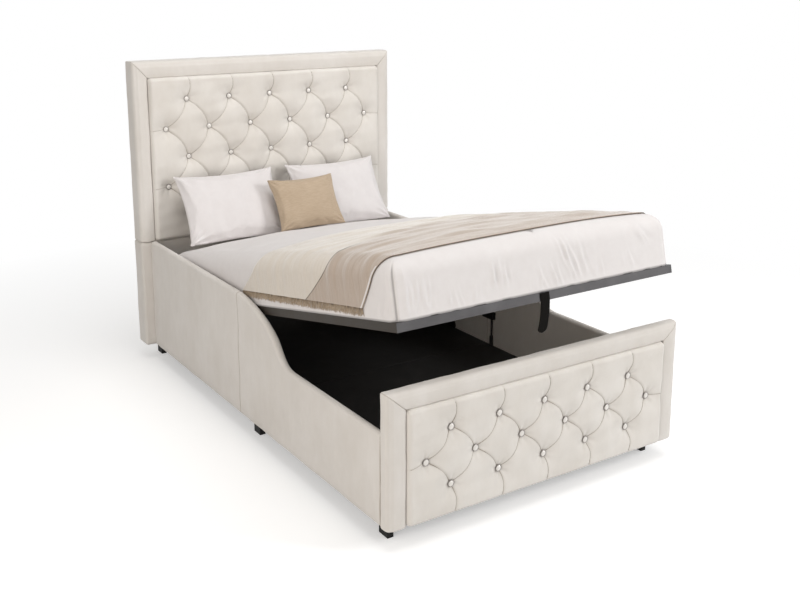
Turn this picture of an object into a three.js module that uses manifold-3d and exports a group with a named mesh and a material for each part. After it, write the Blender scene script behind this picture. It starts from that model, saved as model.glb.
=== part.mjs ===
// Upholstered ottoman bed whose mattress platform lifts at the foot end on a pair of arms.
// Millimetres, +Z up, +Y from the footboard towards the headboard, +X to the right seen
// from the foot of the bed. The origin is on the floor at the middle of the bed.
import * as THREE from 'three';
import { mergeVertices } from 'three/addons/utils/BufferGeometryUtils.js';
import { RoundedBoxGeometry } from 'three/addons/geometries/RoundedBoxGeometry.js';
import Module from 'manifold-3d';

const wasm = await Module();
wasm.setup();

// Clearances shared by the whole bed
const seatGap = 0.3;
const cutOverrun = 2;
const weldDistance = 0.001;
const pinSides = 14;
const outlineSides = 20;

// Mattress and the platform that carries it
const mattressWidth = 1200;
const mattressLength = 1900;
const mattressEdgeHeight = 183;
const mattressCrown = 14;
const mattressCornerRadius = 45;
const mattressTopRoll = 32;
const crownRingShares = [1, 0.8, 0.55, 0.28, 0];
const mattressBottomRoll = 14;
const tubeSize = 30;
const tubeWall = 2;
const slatWidth = 63;
const slatThickness = 8;
const slatCount = 11;
const slatEndMargin = 5;
const slatLugDepth = 9;
const slatLugLength = 22;

// Room at the ends of the shut platform, and how far it is tilted here
const platformFootClearance = 45.7;
const platformHeadClearance = 60.3;
const platformTilt = THREE.MathUtils.degToRad(12.17);

// Side rails
const railSideClearance = 10;
const railThickness = 28;
const railHeadTop = 580;
const railFootTop = 390;
const railEdgeRadius = 5;
const railHeadCornerRadius = 25;
const railHeadLength = 956;
const railCurveLength = 450;
const railCurveHighShares = [[0.3, 0.05], [0.61, 0.32], [0.71, 0.59]];
const railCurveLowShares = [[0.8, 0.83], [0.84, 1], [1, 1]];
const curveSteps = 7;

// Footboard
const groundClearance = 71;
const footboardThickness = 50;
const footboardHeight = 535;
const footboardSideOverhang = 4;
const footboardSideBorder = 72;
const footboardTopBorder = 63;
const footboardEdgeRadius = 8;

// Headboard
const headboardThickness = 98;
const headboardHeight = 1410;
const headboardSideOverhang = 40.5;
const headboardSideBorder = 69;
const headboardTopBorder = 75;
const headboardSeamHeight = 575;
const headboardEdgeRadius = 12;
const panelRecessDepth = 22;
const panelFitGap = 0.5;
const mitreGrooveWidth = 2.4;
const mitreGrooveDepth = 2.4;

// Tufted panels: places of the buttons and depth of the pleats
const buttonPitchShare = 0.1739;
const headButtonRows = 5;
const headButtonRowShare = 0.1763;
const headButtonTopShare = 0.1375;
const headTuftCrown = 20;
const footButtonRows = 3;
const footButtonRowShare = 0.2476;
const footButtonTopShare = 0.2444;
const footTuftCrown = 14;
const tuftPleatStandout = 3;
const tuftButtonSink = 3;
const cellsPerHalfPitch = 3;
const outerButtonCells = 15;

// Feet
const footWidth = 24;
const footLength = 54;
const frontFootFromFoot = 79;
const frontFootInset = 19;
const middleFootBeforeJoint = 89;
const middleFootInset = 13;
const rearFootFromBack = 2;
const rearFootInset = 87;

// Storage floor and its bearers
const ledgerWidth = 44;
const ledgerHeight = 38;
const floorBoardThickness = 12;
const floorJoinGap = 2;
const crossBeamLength = 90;

// Steel corner angles and the rail joint hardware
const angleThickness = 3;
const angleReach = 60;
const angleHeight = 170;
const angleAboveFloor = 8;
const jointBracketLength = 78;
const jointBracketHeight = 34;
const jointBracketDepth = 18;
const jointBracketHeightUp = 250;
const jointBracketLead = 62;
const postRodRadius = 4;
const postSocketRadius = 8.5;
const postSocketHeight = 49;
const postFromBracketStart = 19;

// Lift linkage
const platePlateThickness = 5;
const plateFootMargin = 24;
const platePivotMargin = 22;
const armThickness = 6;
const armPlateSpace = 6.5;
const rearRootFromHeadboard = 605.9;
const rearArmLength = 252;
const rearArmAngle = THREE.MathUtils.degToRad(77.955);
const rearPivotFromHead = 365.2;
const frontArmShortfall = 2.7;
const frontArmAngle = THREE.MathUtils.degToRad(73.19);
const armPivotSpacing = 58.5;
const openPivotLead = 2.9;
const pivotDrop = 20;
const armEndRadius = 14;
const armRootRadius = 17;
const pivotPinRadius = 6;
const pivotHeadRadius = 9.5;
const pivotHeadThickness = 2.4;
const dropBracketThickness = 6;
const dropBracketDepth = 44;
const dropBracketOverhang = 30;
const openPivotClearance = 4.5;

// Gas struts
const strutAnchorDistance = 170;
const strutAnchorDrop = 20;
const strutLobeAngle = THREE.MathUtils.degToRad(26);
const strutLobeRadius = 12;
const strutBodyRadius = 11;
const strutBodyLength = 188;
const strutBodyStart = 14;
const strutBoreRadius = 6.3;
const strutBoreStart = 40;
const strutGlandLength = 8;
const strutRodRadius = 4;
const strutRodLength = 157;
const strutPistonRadius = 5.7;
const strutPistonLength = 8;
const strutEyeRadius = 10;
const strutEyeThickness = 12;
const strutPinRadius = 5;
const strutRodNeckLength = 11.3;
const strutRunningGap = 0.4;
const strutArmSpace = 6;

// Lift strap
const strapWidth = 34;
const strapThickness = 3;
const strapDrop = 112;
const strapTopMargin = 2;
const strapSag = 5;

// Bedding
const throwFrontFromFoot = 62;
const throwRearFromFoot = 925;
const throwHemSkew = 125;
const throwRearHemSkew = 190;
const throwHemHeight = 68;
const throwThickness = 4.5;
const throwWave = 1.6;
const throwWaveLength = 210;
const throwLift = 1.2;
const pillowWidth = 500;
const pillowHeight = 335;
const pillowThickness = 108;
const pillowFromHead = 97;
const pillowOffset = 286;
const pillowLean = THREE.MathUtils.degToRad(20);
const cushionWidth = 345;
const cushionHeight = 250;
const cushionThickness = 88;
const cushionFromHead = 211;
const cushionOffset = 48;
const pillowPinchShare = 0.07;

// Places that follow from the sizes above
const platformHalf = mattressWidth / 2;
const railInner = platformHalf + railSideClearance;
const railOuter = railInner + railThickness;
const footboardHalf = railOuter + footboardSideOverhang;
const headboardHalf = footboardHalf + headboardSideOverhang;
const headboardFront = footboardThickness + platformFootClearance + mattressLength + platformHeadClearance;
const headboardBack = headboardFront + headboardThickness;
const railStart = footboardThickness + seatGap;
const railEnd = headboardFront - seatGap;
const railJoint = headboardFront - railHeadLength;
const ledgerTop = groundClearance + ledgerHeight;
const floorBase = ledgerTop + seatGap;
const floorTop = floorBase + floorBoardThickness;
const bedCentreY = (headboardBack - footTuftCrown) / 2;
const slatBase = tubeSize + seatGap;
const mattressBase = slatBase + slatThickness + seatGap;
const mattressEdgeTop = mattressBase + mattressEdgeHeight;
const rearPivotAlong = mattressLength - rearPivotFromHead;
const frontArmLength = rearArmLength - frontArmShortfall;
const frontPivotAlong = rearPivotAlong - armPivotSpacing;
const plateInner = railInner - seatGap - platePlateThickness;
const armOuter = plateInner - armPlateSpace;
const armInner = armOuter - armThickness;
const bracketOuter = armInner - seatGap * 6;
const bracketInner = bracketOuter - dropBracketThickness;
const strutCentre = armInner - armThickness - strutArmSpace - strutBodyRadius;

// Finishes
const finishes = {
  velvet: { color: 0xd9cfc1, roughness: 0.85, metalness: 0 },
  tufted: { color: 0xd5cabb, roughness: 0.85, metalness: 0 },
  blackPlastic: { color: 0x17171a, roughness: 0.55, metalness: 0 },
  blackSteel: { color: 0x202124, roughness: 0.45, metalness: 0.7 },
  greySteel: { color: 0x4a4745, roughness: 0.5, metalness: 0.6 },
  chrome: { color: 0xc9ccd0, roughness: 0.18, metalness: 1 },
  board: { color: 0x1b1a1a, roughness: 0.9, metalness: 0 },
  slatWood: { color: 0xc8a877, roughness: 0.6, metalness: 0 },
  webbing: { color: 0x141414, roughness: 0.8, metalness: 0 },
  ticking: { color: 0xe9e7e6, roughness: 0.9, metalness: 0 },
  cotton: { color: 0xf0efee, roughness: 0.9, metalness: 0 },
  linen: { color: 0xb9a184, roughness: 0.95, metalness: 0 },
  knit: { color: 0xc4b59c, roughness: 0.95, metalness: 0 },
};

// Mesh and boolean helpers

function addMesh(parent, name, geometry, finish) {
  const mesh = new THREE.Mesh(geometry, new THREE.MeshStandardMaterial(finishes[finish]));
  mesh.name = name;
  parent.add(mesh);
  return mesh;
}

function toSolid(geometry) {
  const bare = geometry.clone();
  bare.deleteAttribute('normal');
  bare.deleteAttribute('uv');
  const merged = mergeVertices(bare, weldDistance);
  const mesh = new wasm.Mesh({
    numProp: 3,
    vertProperties: new Float32Array(merged.attributes.position.array),
    triVerts: new Uint32Array(merged.index.array),
  });
  return new wasm.Manifold(mesh);
}

function fromSolid(solid) {
  const mesh = solid.getMesh();
  const geometry = new THREE.BufferGeometry();
  geometry.setAttribute('position', new THREE.BufferAttribute(new Float32Array(mesh.vertProperties), 3));
  geometry.setIndex(Array.from(mesh.triVerts));
  geometry.computeVertexNormals();
  return geometry;
}

function joined(geometries) {
  const solids = geometries.map(toSolid);
  const whole = solids.reduce((sum, solid) => sum.add(solid));
  return fromSolid(whole);
}

function cutAway(geometry, cutters) {
  const solids = cutters.map(toSolid);
  const whole = solids.reduce((rest, solid) => rest.subtract(solid), toSolid(geometry));
  return fromSolid(whole);
}

// A box between two corners
function boxBetween(low, high) {
  const size = high.map((value, axis) => value - low[axis]);
  const geometry = new THREE.BoxGeometry(size[0], size[1], size[2]);
  geometry.translate((low[0] + high[0]) / 2, (low[1] + high[1]) / 2, (low[2] + high[2]) / 2);
  return geometry;
}

// An upholstered block between two corners, with rounded edges
function softBlock(low, high, radius, segments = 2) {
  const size = high.map((value, axis) => value - low[axis]);
  const geometry = new RoundedBoxGeometry(size[0], size[1], size[2], segments, radius);
  geometry.translate((low[0] + high[0]) / 2, (low[1] + high[1]) / 2, (low[2] + high[2]) / 2);
  return geometry;
}

// A flat outline in the Y-Z plane, given as [y, z] points, made thick along X
function plateAlongX(outline, fromX, toX, bevel = 0, holes = []) {
  const shape = new THREE.Shape(outline.map(([y, z]) => new THREE.Vector2(y, z)));
  holes.forEach(([y, z, radius]) => {
    const hole = new THREE.Path();
    hole.absarc(y, z, radius, 0, Math.PI * 2, true);
    shape.holes.push(hole);
  });
  const geometry = new THREE.ExtrudeGeometry(shape, {
    depth: toX - fromX - bevel * 2,
    bevelEnabled: bevel > 0,
    bevelThickness: bevel,
    bevelSize: bevel,
    bevelOffset: -bevel,
    bevelSegments: 2,
    curveSegments: 8,
  });
  const turn = new THREE.Matrix4();
  turn.set(0, 0, 1, fromX + bevel, 1, 0, 0, 0, 0, 1, 0, 0, 0, 0, 0, 1);
  geometry.applyMatrix4(turn);
  return geometry;
}

// A round bar along X
function pinAlongX(radius, fromX, toX, y = 0, z = 0) {
  const geometry = new THREE.CylinderGeometry(radius, radius, toX - fromX, pinSides);
  geometry.rotateZ(Math.PI / 2);
  geometry.translate((fromX + toX) / 2, y, z);
  return geometry;
}

// The outline of a band stretched round several circles, each [y, z, radius]
function outlineRound(circles) {
  const points = [];
  circles.forEach(([y, z, radius]) => {
    for (let step = 0; step < outlineSides; step += 1) {
      const angle = (step / outlineSides) * Math.PI * 2;
      points.push([y + radius * Math.cos(angle), z + radius * Math.sin(angle)]);
    }
  });
  points.sort((a, b) => a[0] - b[0] || a[1] - b[1]);
  const turn = (o, a, b) => (a[0] - o[0]) * (b[1] - o[1]) - (a[1] - o[1]) * (b[0] - o[0]);
  const half = (list) => {
    const kept = [];
    list.forEach((point) => {
      while (kept.length > 1 && turn(kept[kept.length - 2], kept[kept.length - 1], point) <= 0) {
        kept.pop();
      }
      kept.push(point);
    });
    kept.pop();
    return kept;
  };
  return [...half(points), ...half([...points].reverse())];
}

// Turns the pieces of the right side into those of the left side
function mirroredX(geometry) {
  const copy = geometry.index ? geometry.toNonIndexed() : geometry.clone();
  copy.scale(-1, 1, 1);
  const position = copy.attributes.position;
  for (let corner = 0; corner < position.count; corner += 3) {
    const first = [position.getX(corner), position.getY(corner), position.getZ(corner)];
    const last = [position.getX(corner + 2), position.getY(corner + 2), position.getZ(corner + 2)];
    position.setXYZ(corner, ...last);
    position.setXYZ(corner + 2, ...first);
  }
  copy.deleteAttribute('normal');
  copy.deleteAttribute('uv');
  const merged = mergeVertices(copy, weldDistance);
  merged.computeVertexNormals();
  return merged;
}

// Adds the same piece on the right and, mirrored, on the left
function addPair(parent, name, geometry, finish) {
  addMesh(parent, `${name}_right`, geometry, finish);
  addMesh(parent, `${name}_left`, mirroredX(geometry), finish);
}

// A closed skin from rows of points, open at neither end: each row is a closed ring
function closedRings(rings, firstTip, lastTip) {
  const count = rings[0].length;
  const positions = [...firstTip];
  rings.forEach((ring) => ring.forEach((point) => positions.push(...point)));
  positions.push(...lastTip);
  const indices = [];
  const at = (ring, step) => 1 + ring * count + (step % count);
  const last = 1 + rings.length * count;
  for (let step = 0; step < count; step += 1) {
    indices.push(0, at(0, step + 1), at(0, step));
    for (let ring = 0; ring + 1 < rings.length; ring += 1) {
      indices.push(at(ring, step), at(ring, step + 1), at(ring + 1, step + 1));
      indices.push(at(ring, step), at(ring + 1, step + 1), at(ring + 1, step));
    }
    indices.push(at(rings.length - 1, step), at(rings.length - 1, step + 1), last);
  }
  const geometry = new THREE.BufferGeometry();
  geometry.setAttribute('position', new THREE.Float32BufferAttribute(positions, 3));
  geometry.setIndex(indices);
  geometry.computeVertexNormals();
  return geometry;
}

// A closed skin from a front grid and a back grid that share their places in rows
function closedGrids(front, back) {
  const rows = front.length;
  const columns = front[0].length;
  const positions = [...front.flat(2), ...back.flat(2)];
  const indices = [];
  const frontAt = (row, column) => row * columns + column;
  const backAt = (row, column) => rows * columns + row * columns + column;
  for (let row = 0; row + 1 < rows; row += 1) {
    for (let column = 0; column + 1 < columns; column += 1) {
      indices.push(frontAt(row, column), frontAt(row, column + 1), frontAt(row + 1, column + 1));
      indices.push(frontAt(row, column), frontAt(row + 1, column + 1), frontAt(row + 1, column));
      indices.push(backAt(row, column), backAt(row + 1, column + 1), backAt(row, column + 1));
      indices.push(backAt(row, column), backAt(row + 1, column), backAt(row + 1, column + 1));
    }
  }
  const wall = (a, b, c, d) => indices.push(a, c, b, b, c, d);
  for (let column = 0; column + 1 < columns; column += 1) {
    wall(frontAt(0, column), frontAt(0, column + 1), backAt(0, column), backAt(0, column + 1));
    wall(frontAt(rows - 1, column + 1), frontAt(rows - 1, column),
      backAt(rows - 1, column + 1), backAt(rows - 1, column));
  }
  for (let row = 0; row + 1 < rows; row += 1) {
    wall(frontAt(row + 1, 0), frontAt(row, 0), backAt(row + 1, 0), backAt(row, 0));
    wall(frontAt(row, columns - 1), frontAt(row + 1, columns - 1),
      backAt(row, columns - 1), backAt(row + 1, columns - 1));
  }
  const geometry = new THREE.BufferGeometry();
  geometry.setAttribute('position', new THREE.Float32BufferAttribute(positions, 3));
  geometry.setIndex(indices);
  const merged = mergeVertices(geometry, weldDistance);
  merged.computeVertexNormals();
  return merged;
}

// Tufted panels

// Grid lines from one edge to the other that pass through every button
function tuftLines(lowEdge, highEdge, centre, pitch, lowCells, highCells, edgeCells) {
  const lines = [];
  const lowest = centre - lowCells * pitch;
  const highest = centre + highCells * pitch;
  for (let step = 0; step < edgeCells; step += 1) {
    lines.push([lowEdge + ((lowest - lowEdge) * step) / edgeCells, -lowCells - edgeCells + step]);
  }
  for (let cell = -lowCells; cell <= highCells; cell += 1) {
    lines.push([centre + cell * pitch, cell]);
  }
  for (let step = 1; step <= edgeCells; step += 1) {
    lines.push([highest + ((highEdge - highest) * step) / edgeCells, highCells + step]);
  }
  return lines;
}

// How far a tufted panel stands out at a grid place, as a share of its crown
function tuftShare(column, row, lowRow, inPanel) {
  const across = Math.min(Math.max(column, -outerButtonCells), outerButtonCells);
  const up = Math.min(Math.max(row, lowRow), 0);
  const period = cellsPerHalfPitch * 2;
  const one = Math.sin((Math.PI * (across - up)) / period);
  const two = Math.sin((Math.PI * (across + up)) / period);
  return Math.abs(one * two) ** 0.55 * inPanel;
}

function tuftedPanel(size) {
  const { left, right, base, top, faceY, backY, crown, rowPitch, topRow, rows } = size;
  const cell = ((right - left) * buttonPitchShare) / 2 / cellsPerHalfPitch;
  const lowRow = -(rows - 1) * cellsPerHalfPitch;
  const columns = tuftLines(left, right, (left + right) / 2, cell, outerButtonCells, outerButtonCells, 2);
  const lines = tuftLines(base, top, topRow, rowPitch / cellsPerHalfPitch, -lowRow, 0, 2);
  const lastColumn = outerButtonCells + 2;
  const positions = [];
  lines.forEach(([z, row], rowIndex) => {
    columns.forEach(([x, column], columnIndex) => {
      const onEdge = Math.abs(column) === lastColumn || rowIndex === 0 || rowIndex === lines.length - 1;
      const even = column % cellsPerHalfPitch === 0 && row % cellsPerHalfPitch === 0;
      const inField = Math.abs(column) <= outerButtonCells && row <= 0 && row >= lowRow;
      const button = even && inField && (column + row) % (cellsPerHalfPitch * 2) === 0;
      const share = tuftShare(column, row, lowRow, onEdge ? 0 : 1);
      const standout = button ? -tuftButtonSink : tuftPleatStandout + (crown - tuftPleatStandout) * share;
      positions.push(x, faceY - (onEdge ? 0 : standout), z);
    });
  });
  const width = columns.length;
  const height = lines.length;
  const indices = [];
  for (let row = 0; row + 1 < height; row += 1) {
    for (let column = 0; column + 1 < width; column += 1) {
      const a = row * width + column;
      const i = columns[column][1];
      const j = lines[row][1];
      const along = (i - j) % (cellsPerHalfPitch * 2) === 0;
      const against = (i + j + 1) % (cellsPerHalfPitch * 2) === 0;
      if (along || (!against && (i + j) % 2 === 0)) {
        indices.push(a, a + 1, a + width + 1, a, a + width + 1, a + width);
      } else {
        indices.push(a, a + 1, a + width, a + 1, a + width + 1, a + width);
      }
    }
  }
  const rim = [];
  for (let column = 0; column < width - 1; column += 1) rim.push(column);
  for (let row = 0; row < height - 1; row += 1) rim.push(row * width + width - 1);
  for (let column = width - 1; column > 0; column -= 1) rim.push((height - 1) * width + column);
  for (let row = height - 1; row > 0; row -= 1) rim.push(row * width);
  const backStart = positions.length / 3;
  rim.forEach((corner) => positions.push(positions[corner * 3], backY, positions[corner * 3 + 2]));
  positions.push((left + right) / 2, backY, (base + top) / 2);
  const middle = backStart + rim.length;
  rim.forEach((corner, step) => {
    const next = (step + 1) % rim.length;
    indices.push(corner, backStart + step, rim[next], rim[next], backStart + step, backStart + next);
    indices.push(backStart + step, middle, backStart + next);
  });
  const geometry = new THREE.BufferGeometry();
  geometry.setAttribute('position', new THREE.Float32BufferAttribute(positions, 3));
  geometry.setIndex(indices);
  geometry.computeVertexNormals();
  return geometry;
}

// A fine groove on a front face from an outer corner to the corner of the recess
function mitreGroove(fromX, fromZ, toX, toZ, faceY) {
  const length = Math.hypot(toX - fromX, toZ - fromZ);
  const groove = new THREE.BoxGeometry(length + cutOverrun * 4, mitreGrooveDepth * 2, mitreGrooveWidth);
  groove.rotateY(-Math.atan2(toZ - fromZ, toX - fromX));
  groove.translate((fromX + toX) / 2, faceY, (fromZ + toZ) / 2);
  return groove;
}

// A padded frame round a tufted panel: borders at the sides and the top
function paddedFrame(size) {
  const { half, faceY, backY, base, top, sideBorder, topBorder, radius } = size;
  const block = softBlock([-half, faceY, base], [half, backY, top], radius);
  const innerHalf = half - sideBorder;
  const recess = boxBetween(
    [-innerHalf, faceY - cutOverrun, base - cutOverrun],
    [innerHalf, faceY + panelRecessDepth, top - topBorder],
  );
  const grooves = [-1, 1].map((side) => mitreGroove(side * half, top, side * innerHalf, top - topBorder, faceY));
  return cutAway(block, [recess, ...grooves]);
}

function addFootboard(parent) {
  addMesh(parent, 'footboard_frame', paddedFrame({
    half: footboardHalf,
    faceY: 0,
    backY: footboardThickness,
    base: groundClearance,
    top: footboardHeight,
    sideBorder: footboardSideBorder,
    topBorder: footboardTopBorder,
    radius: footboardEdgeRadius,
  }), 'velvet');
  const half = footboardHalf - footboardSideBorder - panelFitGap;
  const top = footboardHeight - footboardTopBorder - panelFitGap;
  const height = top - groundClearance;
  addMesh(parent, 'footboard_tufted_panel', tuftedPanel({
    left: -half,
    right: half,
    base: groundClearance,
    top,
    faceY: 0,
    backY: panelRecessDepth - seatGap,
    crown: footTuftCrown,
    rowPitch: height * footButtonRowShare,
    topRow: top - height * footButtonTopShare,
    rows: footButtonRows,
  }), 'tufted');
}

function addHeadboard(parent) {
  const base = headboardSeamHeight + seatGap;
  const frame = addMesh(parent, 'headboard_frame', paddedFrame({
    half: headboardHalf,
    faceY: 0,
    backY: headboardThickness,
    base: 0,
    top: headboardHeight - base,
    sideBorder: headboardSideBorder,
    topBorder: headboardTopBorder,
    radius: headboardEdgeRadius,
  }), 'velvet');
  frame.position.set(0, headboardFront, base);
  const half = headboardHalf - headboardSideBorder - panelFitGap;
  const top = headboardHeight - headboardTopBorder - panelFitGap;
  const height = top - base;
  addMesh(parent, 'headboard_tufted_panel', tuftedPanel({
    left: -half,
    right: half,
    base,
    top,
    faceY: headboardFront,
    backY: headboardFront + panelRecessDepth - seatGap,
    crown: headTuftCrown,
    rowPitch: height * headButtonRowShare,
    topRow: top - height * headButtonTopShare,
    rows: headButtonRows,
  }), 'tufted');
  addMesh(parent, 'headboard_lower', softBlock(
    [-headboardHalf, headboardFront, groundClearance],
    [headboardHalf, headboardBack, headboardSeamHeight],
    headboardEdgeRadius,
  ), 'velvet');
}

// Side rails

// The curve by which a rail's top edge drops from the head part to the foot part
function railCurve() {
  const drop = railHeadTop - railFootTop;
  const start = railJoint - railEdgeRadius * 3;
  const place = ([along, down]) => new THREE.Vector2(start - along * railCurveLength, railHeadTop - down * drop);
  const high = railCurveHighShares.map(place);
  const low = railCurveLowShares.map(place);
  const upper = new THREE.CubicBezierCurve(new THREE.Vector2(start, railHeadTop), high[0], high[1], high[2]);
  const lower = new THREE.CubicBezierCurve(high[2], low[0], low[1], low[2]);
  const points = [...upper.getPoints(curveSteps), ...lower.getPoints(curveSteps).slice(1)];
  return points.map((point) => [point.x, point.y]);
}

function addRails(parent) {
  const headOutline = [
    [railJoint + seatGap, groundClearance],
    [railEnd, groundClearance],
    [railEnd, railHeadTop - railHeadCornerRadius],
  ];
  for (let step = 1; step <= 5; step += 1) {
    const angle = (step / 5) * (Math.PI / 2);
    headOutline.push([
      railEnd - railHeadCornerRadius * (1 - Math.cos(angle)),
      railHeadTop - railHeadCornerRadius * (1 - Math.sin(angle)),
    ]);
  }
  headOutline.push([railJoint + seatGap, railHeadTop]);
  const footOutline = [
    [railStart, groundClearance],
    [railJoint, groundClearance],
    [railJoint, railHeadTop],
    ...railCurve(),
    [railStart, railFootTop],
  ];
  addPair(parent, 'side_rail_head', plateAlongX(headOutline, railInner, railOuter, railEdgeRadius), 'velvet');
  addPair(parent, 'side_rail_foot', plateAlongX(footOutline, railInner, railOuter, railEdgeRadius), 'velvet');
}

// Feet, floor and fixed hardware

function addFeet(parent) {
  const footTop = groundClearance - seatGap;
  const foot = (outerX, startY) => softBlock(
    [outerX - footWidth, startY, 0],
    [outerX, startY + footLength, footTop],
    footWidth / 16,
    1,
  );
  addPair(parent, 'foot_front', foot(railInner - frontFootInset, frontFootFromFoot), 'blackPlastic');
  addPair(parent, 'foot_middle', foot(railInner - middleFootInset, railJoint - middleFootBeforeJoint), 'blackPlastic');
  const rearStart = headboardBack - rearFootFromBack - footLength;
  addPair(parent, 'foot_rear', foot(headboardHalf - rearFootInset, rearStart), 'blackPlastic');
}

function addFloor(parent) {
  const ledgerOuter = railInner - seatGap;
  const ledgerInner = ledgerOuter - ledgerWidth;
  addPair(parent, 'floor_ledger', boxBetween(
    [ledgerInner, railStart, groundClearance],
    [ledgerOuter, railEnd, ledgerTop],
  ), 'blackSteel');
  const beamHalf = ledgerInner - seatGap;
  addMesh(parent, 'floor_cross_beam', boxBetween(
    [-beamHalf, railJoint - crossBeamLength / 2, groundClearance],
    [beamHalf, railJoint + crossBeamLength / 2, ledgerTop],
  ), 'blackSteel');
  const middle = railJoint;
  addMesh(parent, 'floor_board_foot', boxBetween(
    [-ledgerOuter, railStart, floorBase],
    [ledgerOuter, middle - floorJoinGap / 2, floorTop],
  ), 'board');
  addMesh(parent, 'floor_board_head', boxBetween(
    [-ledgerOuter, middle + floorJoinGap / 2, floorBase],
    [ledgerOuter, railEnd, floorTop],
  ), 'board');
}

function addCornerAngles(parent) {
  const outerX = railInner - seatGap;
  const base = floorTop + angleAboveFloor;
  const top = base + angleHeight;
  const alongRail = boxBetween(
    [outerX - angleThickness, railStart, base],
    [outerX, railStart + angleReach, top],
  );
  const alongBoard = boxBetween(
    [outerX - angleReach, railStart, base],
    [outerX, railStart + angleThickness, top],
  );
  addPair(parent, 'corner_angle_front', joined([alongRail, alongBoard]), 'blackSteel');
}

// The block that bridges the two rail sections, and the post that carries it
function addRailJoint(parent) {
  const outerX = railInner - seatGap;
  const start = railJoint - jointBracketLead;
  addPair(parent, 'rail_joint_bracket', softBlock(
    [outerX - jointBracketDepth, start, jointBracketHeightUp],
    [outerX, start + jointBracketLength, jointBracketHeightUp + jointBracketHeight],
    jointBracketDepth / 9,
    1,
  ), 'blackPlastic');
  const base = floorTop + seatGap;
  const top = jointBracketHeightUp - seatGap;
  const socketTop = base + postSocketHeight;
  const profile = [
    [0, base],
    [postSocketRadius, base],
    [postSocketRadius, socketTop - postRodRadius],
    [postRodRadius * 1.5, socketTop],
    [postRodRadius, socketTop],
    [postRodRadius, top],
    [0, top],
  ].map(([radius, z]) => new THREE.Vector2(radius, z));
  const post = new THREE.LatheGeometry(profile, 16);
  post.rotateX(Math.PI / 2);
  post.translate(outerX - postSocketRadius, start + postFromBracketStart, 0);
  addPair(parent, 'rail_joint_post', post, 'blackSteel');
}

// Lift linkage

// A point reached from another by going a length at an angle in the Y-Z plane
const stepFrom = ([y, z], length, angle) => [y + length * Math.cos(angle), z + length * Math.sin(angle)];

// The rear arm carries the platform, so its tip sets where the platform's front edge is
const rearRoot = [headboardFront - rearRootFromHeadboard, floorTop + armRootRadius + seatGap];
const rearTip = stepFrom(rearRoot, rearArmLength, rearArmAngle);
const upFromPivots = stepFrom(rearTip, pivotDrop, Math.PI / 2 - platformTilt);
const platformOrigin = stepFrom(upFromPivots, rearPivotAlong, Math.PI - platformTilt);
const frontTip = stepFrom(rearTip, armPivotSpacing - openPivotLead, Math.PI - platformTilt);
const frontRoot = stepFrom(frontTip, -frontArmLength, frontArmAngle);
const strutRoot = [
  frontRoot[0] + Math.sqrt(strutAnchorDistance ** 2 - strutAnchorDrop ** 2),
  frontRoot[1] - strutAnchorDrop,
];
const lobeAngle = frontArmAngle + strutLobeAngle;
const strutTip = stepFrom(frontRoot, strutAnchorDistance, lobeAngle);
const strutAngle = Math.atan2(strutTip[1] - strutRoot[1], strutTip[0] - strutRoot[0]);

// The plate on the rail that carries the fixed pins of the linkage
function liftBasePlate() {
  const base = floorTop + seatGap;
  const outerX = plateInner + platePlateThickness;
  const corner = platePivotMargin / 2;
  const outline = outlineRound([
    [frontRoot[0], frontRoot[1], platePivotMargin],
    [rearRoot[0], rearRoot[1] + platePivotMargin / 2, platePivotMargin],
    [frontRoot[0] - plateFootMargin, base + corner, corner],
    [strutRoot[0] + plateFootMargin, base + corner, corner],
  ]);
  const plate = plateAlongX(outline, plateInner, outerX);
  const armPin = ([y, z]) => [
    pinAlongX(pivotPinRadius * 1.8, armOuter + seatGap, plateInner + seatGap, y, z),
    pinAlongX(pivotPinRadius, armInner - seatGap - pivotHeadThickness, plateInner + seatGap, y, z),
    pinAlongX(pivotHeadRadius, armInner - seatGap - pivotHeadThickness, armInner - seatGap, y, z),
  ];
  const strutEnd = strutCentre - strutEyeThickness / 2;
  const strutStart = strutCentre + strutEyeThickness / 2 + seatGap;
  const strutPin = [
    pinAlongX(pivotPinRadius * 1.5, strutStart, plateInner + seatGap, ...strutRoot),
    pinAlongX(pivotPinRadius, strutEnd - seatGap - pivotHeadThickness, plateInner + seatGap, ...strutRoot),
    pinAlongX(pivotHeadRadius, strutEnd - seatGap - pivotHeadThickness, strutEnd - seatGap, ...strutRoot),
  ];
  return joined([plate, ...armPin(frontRoot), ...armPin(rearRoot), ...strutPin]);
}

// The rear arm in its own frame: the fixed pivot at the origin, the tip along +Y
function rearArm() {
  const outline = outlineRound([[0, 0, armRootRadius], [rearArmLength, 0, armEndRadius]]);
  const hole = pivotPinRadius + seatGap;
  return plateAlongX(outline, armInner, armOuter, 0, [[0, 0, hole], [rearArmLength, 0, hole]]);
}

// The front arm, with a lobe for the gas strut and a stud for the open pivot
function frontArm() {
  const lobe = [strutAnchorDistance * Math.cos(strutLobeAngle), strutAnchorDistance * Math.sin(strutLobeAngle)];
  const outline = outlineRound([
    [0, 0, armRootRadius],
    [frontArmLength, 0, armEndRadius],
    [lobe[0], lobe[1], strutLobeRadius],
  ]);
  const plate = plateAlongX(outline, armInner, armOuter, 0, [[0, 0, pivotPinRadius + seatGap]]);
  const studEnd = bracketInner - seatGap * 3;
  const strutEnd = strutCentre - strutEyeThickness / 2;
  const strutStart = strutCentre + strutEyeThickness / 2 + seatGap;
  const grip = armInner + armThickness / 2;
  return joined([
    plate,
    pinAlongX(strutPinRadius, studEnd, grip, frontArmLength, 0),
    pinAlongX(strutPinRadius, strutEnd - seatGap - pivotHeadThickness, grip, lobe[0], lobe[1]),
    pinAlongX(strutPinRadius * 1.5, strutStart, grip, lobe[0], lobe[1]),
    pinAlongX(strutEyeRadius * 0.85, strutEnd - seatGap - pivotHeadThickness, strutEnd - seatGap, lobe[0], lobe[1]),
  ]);
}

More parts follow.
